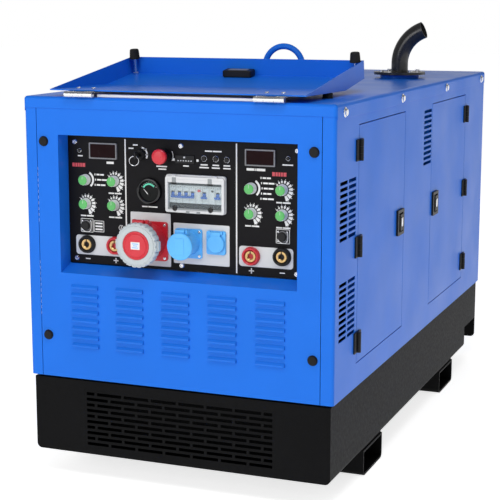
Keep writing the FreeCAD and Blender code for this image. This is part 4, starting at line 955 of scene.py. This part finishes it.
# ---------------------------------------------------------------- doors
def door_trim():
    for name in ("front", "rear"):
        low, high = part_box(f"door_{name}_latch")
        y, z = (low.y + high.y) / 2, (low.z + high.z) / 2
        handle = f"{name}_door_handle"
        paddle = slab_piece(f"door_{name}_paddle", (low.x + 0.0002, low.y, low.z),
            (high.x, high.y, high.z - 0.0005), "plastic", handle, "x", 0.003, 0.0008)
        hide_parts(f"door_{name}_latch")
        slab_piece(f"door_{name}_strip", (high.x - 0.0005, y - 0.0055, z - 0.012),
            (high.x + 0.0022, y + 0.0055, z + 0.015), "chrome", handle, "x", 0.0045, 0.0012)
        low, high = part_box(f"door_{name}")
        foam_wall(name, low, high)
        frame_piece(f"door_{name}_seal", (low.x + 0.0035, low.y + 0.002, low.z + 0.002),
            (low.x + 0.0005, high.y - 0.002, high.z - 0.002), 0.01, "rubber", f"{name}_door", "x", 0.006)


FOAM_ROWS = 52
FOAM_COLUMNS = 36
FOAM_INSET = 0.016
WAVES = 160


def foam_wall(name, low, high):
    """Sound-deadening foam with a wavy face, glued inside a door."""
    bm = bmesh.new()
    face = high.x - 0.0025
    grid = []
    for row in range(FOAM_ROWS + 1):
        z = low.z + FOAM_INSET + (high.z - low.z - 2 * FOAM_INSET) * row / FOAM_ROWS
        line = []
        for column in range(FOAM_COLUMNS + 1):
            y = low.y + FOAM_INSET + (high.y - low.y - 2 * FOAM_INSET) * column / FOAM_COLUMNS
            wave = math.sin(y * WAVES) * math.sin(z * WAVES)
            line.append(bm.verts.new((face - 0.0105 - 0.0045 * wave, y, z)))
        grid.append(line)
    for first, second in zip(grid, grid[1:]):
        for column in range(FOAM_COLUMNS):
            bm.faces.new((first[column], first[column + 1], second[column + 1], second[column]))
    rim = grid[0] + [line[-1] for line in grid[1:]] + grid[-1][-2::-1] + [line[0] for line in grid[-2:0:-1]]
    backs = [bm.verts.new((face, vert.co.y, vert.co.z)) for vert in rim]
    join_rings(bm, rim, backs)
    bm.faces.new(backs)
    piece(f"door_{name}_foam", bm, "foam", f"{name}_door", angle=80)


# ---------------------------------------------------------------- roof and rest
def roof_trim():
    y = middle("lifting_eye").y
    for side, x in (("left", -0.059), ("right", 0.059)):
        turned_piece(f"{side}_eye_grommet", [(9.4, 0), (15, 0), (15.5, 1.5), (14, 3.5), (10.5, 4.5),
            (9.4, 4)], (x, y, ROOF_PLATE), "rubber", way="up", steps=40)
    turned_piece("exhaust_weld", [(26.4, 0), (30, 0), (29, 1.8), (26.4, 3.4)],
        (0.257, 0.353, ROOF_PLATE + 0.0198), "stove", way="up", steps=60)
    for x, way in ((0.4265, "right"), (-0.4265, "left")):
        bm = bmesh.new()
        for behind in (0.063, 0.589, 1.108, 1.616):
            place = (x, FRONT_SHEET + behind, 0.999)
            turned(bm, [(0, 0), (12.2, 0), (12.6, 0.8), (12, 1.8), (0, 1.8)], place, way, 40)
            turned(bm, [(0, 0), (9.4, 0), (9.4, 5.5), (8.2, 6.6), (0, 6.8)], place, way, 6)
        piece(f"roof_bolts_{way}", bm, "chrome")
    # a white strip along the roof's front edge under the cover's hinge line: a painted highlight for the
    # bright band seen in the gap under the raised cover, not a real seal
    slab_piece("roof_front_highlight_strip", (-0.2165, FRONT_SHEET + 0.008, ROOF_PLATE),
        (0.2165, FRONT_SHEET + 0.019, ROOF_PLATE + 0.0085), "print", axis="x", corner=0.003, edge=0.0005,
        slot="grey_plastic")


# ---------------------------------------------------------------- engine bay

CYLINDERS = 4
CYLINDER_START, CYLINDER_PITCH = -0.06, 0.105
PUMP_X, PUMP_START, PUMP_PITCH = 0.188, 0.152, 0.042


def engine_trim():
    bm = bmesh.new()
    for number in range(7):
        y = -0.12 + 0.072 * number
        slab(bm, (0.1495, y, 0.47), (0.1575, y + 0.01, 0.735), "x", 0.002, 0.001)
    slab(bm, (0.1195, -0.15, 0.44), (0.158, 0.33, 0.452), "x", 0.002, 0.001)
    slab(bm, (0.1095, -0.14, 0.752), (0.128, 0.32, 0.766), "x", 0.002, 0.001)
    piece("engine_ribs", bm, "iron")
    bm = bmesh.new()
    for number in range(9):
        bolt(bm, 7.5, 5, 5.6, (0.1575, -0.125 + 0.055 * number, 0.446), "right")
    for number in range(5):
        bolt(bm, 8, 7, 7.6, (0, -0.1 + 0.095 * number, 0.9045), "up")
    piece("engine_bolts", bm, "zinc", slot="shaft_steel")
    bm = bmesh.new()
    slab(bm, (0.15, 0.13, 0.555), (0.222, 0.3, 0.64), "x", 0.01, 0.004)
    for number in range(CYLINDERS):
        place = (PUMP_X, PUMP_START + PUMP_PITCH * number, 0.638)
        turned(bm, [(0, 0), (11, 0), (11, 22), (7, 26), (0, 26)], place, "up", 24)
    piece("injection_pump", bm, "steel")
    for number in range(CYLINDERS):
        start = Vector((PUMP_X, PUMP_START + PUMP_PITCH * number, 0.662))
        end = Vector((0.108, CYLINDER_START + CYLINDER_PITCH * number, 0.815))
        way = [start, start + Vector((0, 0, 0.02)), start + Vector((-0.012, -0.01, 0.05)),
            (start + end) / 2 + Vector((0.008, 0, 0.018)), end + Vector((0.034, 0, 0.004)), end]
        wire(f"injector_line_{number + 1}", way, 0.0032, "steel")
    turned_piece("oil_filter", [(0, 0), (30, 0), (30, 14), (44, 18), (44, 100), (40, 108), (18, 112),
        (0, 112)], (0.15, 0.245, 0.492), "ring", way="right", steps=60, slot="cast_iron")
    turned_piece("fuel_filter", [(0, 0), (30, 0), (36, 6), (36, 85), (30, 90), (30, 112), (0, 112)],
        (0.2, 0.075, 0.545), "ring", way="up", steps=60, slot="cast_iron")
    turned_piece("exhaust_manifold", [(0, 0), (22, 0), (24, 10), (24, 390), (22, 400), (0, 400)],
        (0.146, -0.09, 0.795), "stove", way="back", steps=40)
    branch = [(0, 0), (28, 0), (28, 8), (19, 9), (19, 36), (0, 36)]
    for number in range(CYLINDERS):
        place = (0.11, CYLINDER_START + CYLINDER_PITCH * number, 0.795)
        turned_piece(f"manifold_branch_{number + 1}", branch, place, "stove", way="right", steps=32)
    turned_piece("fan_shroud", [(212, -180), (220, -186), (228, -180), (216, -170), (216, -92), (210, -92),
        (210, -172)], (0, 0.582, CRANK), "plastic", way="back", steps=120, ring=True)
    frame_piece("fan_shroud_plate", (-0.25, 0.488, 0.365), (0.25, 0.496, 0.855), 0.03, "plastic",
        corner=0.01)
    upper = [(0.035, 0.318, 0.822), (0.035, 0.35, 0.824), (0.06, 0.385, 0.836), (0.11, 0.43, 0.868),
        (0.15, 0.462, 0.88), (0.15, 0.492, 0.88)]
    lower = [(0.11, 0.326, 0.5), (0.118, 0.352, 0.492), (0.175, 0.372, 0.44), (0.232, 0.415, 0.36),
        (0.235, 0.462, 0.342), (0.235, 0.492, 0.34)]
    for name, way in (("upper", upper), ("lower", lower)):
        wire(f"{name}_coolant_hose", way, 0.021, "rubber")


def generator_trim():
    turned_piece("generator_fins", [(190.5, 0), (198.5, 0), (198.5, 290), (190.5, 290)], (0, -0.52, CRANK),
        "generator", way="back", steps=288, flutes=48, flute_deep=6, flute_span=(-1000, 1000), ring=True)
    rings = bmesh.new()
    for y in (-0.592, -0.21):
        turned(rings, [(190.5, 0), (201, 0), (203, 3), (203, 40), (201, 43), (190.5, 43)], (0, y, CRANK),
            "back", 120, ring=True)
    piece("generator_end_rings", rings, "generator")
    bolts = bmesh.new()
    for number in range(8):
        angle = math.radians(22.5 + 45 * number)
        across, up = 0.176 * math.cos(angle), 0.176 * math.sin(angle)
        bolt(bolts, 8.5, 6.5, 7.2, (across, -0.59, CRANK + up), "front")
    for x in (-0.082, 0.082):
        for y in (-0.552, -0.388):
            bolt(bolts, 6.5, 5, 5.6, (x * 0.96, y, 0.8255), "up")
    piece("generator_bolts", bolts, "zinc", slot="shaft_steel")
    slab_piece("terminal_box_lid", (-0.094, -0.564, 0.819), (0.094, -0.376, 0.826), "generator", axis="z",
        corner=0.006, edge=0.0015)
    glands = bmesh.new()
    for number in range(3):
        turned(glands, [(0, 0), (14, 0), (14, 10), (11, 11), (11, 22), (0, 22)],
            (0.09, -0.52 + 0.05 * number, 0.785), "right", 24)
    piece("terminal_box_glands", glands, "plastic")


CAD_LOOKS = {
    "paint": "right_side_panel left_side_panel front_panel rear_panel roof lifting_eye cover "
             "door_front door_rear",
    "base": "base_frame inlet_grille fork_pockets",
    "plate": "control_panel",
    "zinc": "fasteners cover_hinge_frames cover_hinge_leaves",
    "stove": "exhaust_pipe muffler",
    "rubber": "rubber_stops",
    "plastic": "door_front_fittings door_rear_fittings door_hinge_frames emergency_stop_base "
               "ignition_switch battery",
    "red": "three_phase_socket",
    "blue": "single_phase_socket domestic_socket",
    "grey": "breaker_frame",
    "breaker": "breakers",
    "toggle": "main_breaker_toggle left_breaker_toggle right_breaker_toggle",
    "gloss": "indicator_lamps",
    "iron": "engine_block",
    "generator": "generator_housing",
    "steel": "drive_shaft",
    "core": "radiator",
    "tank": "fuel_tank",
}


def dress_cad_nodes():
    for look, names in CAD_LOOKS.items():
        for name in names.split():
            thing = NODES[name]
            thing.data.materials.clear()
            thing.data.materials.append(LOOKS[look])


set_view()
studio()
dress_cad_nodes()
panel_print()
instruments()
knobs()
welding_sockets()
remote_connectors()
three_phase()
single_phase()
domestic()
breaker_window()
breaker_row()
emergency_stop()
key()
cover_trim()
door_trim()
roof_trim()
engine_trim()
generator_trim()
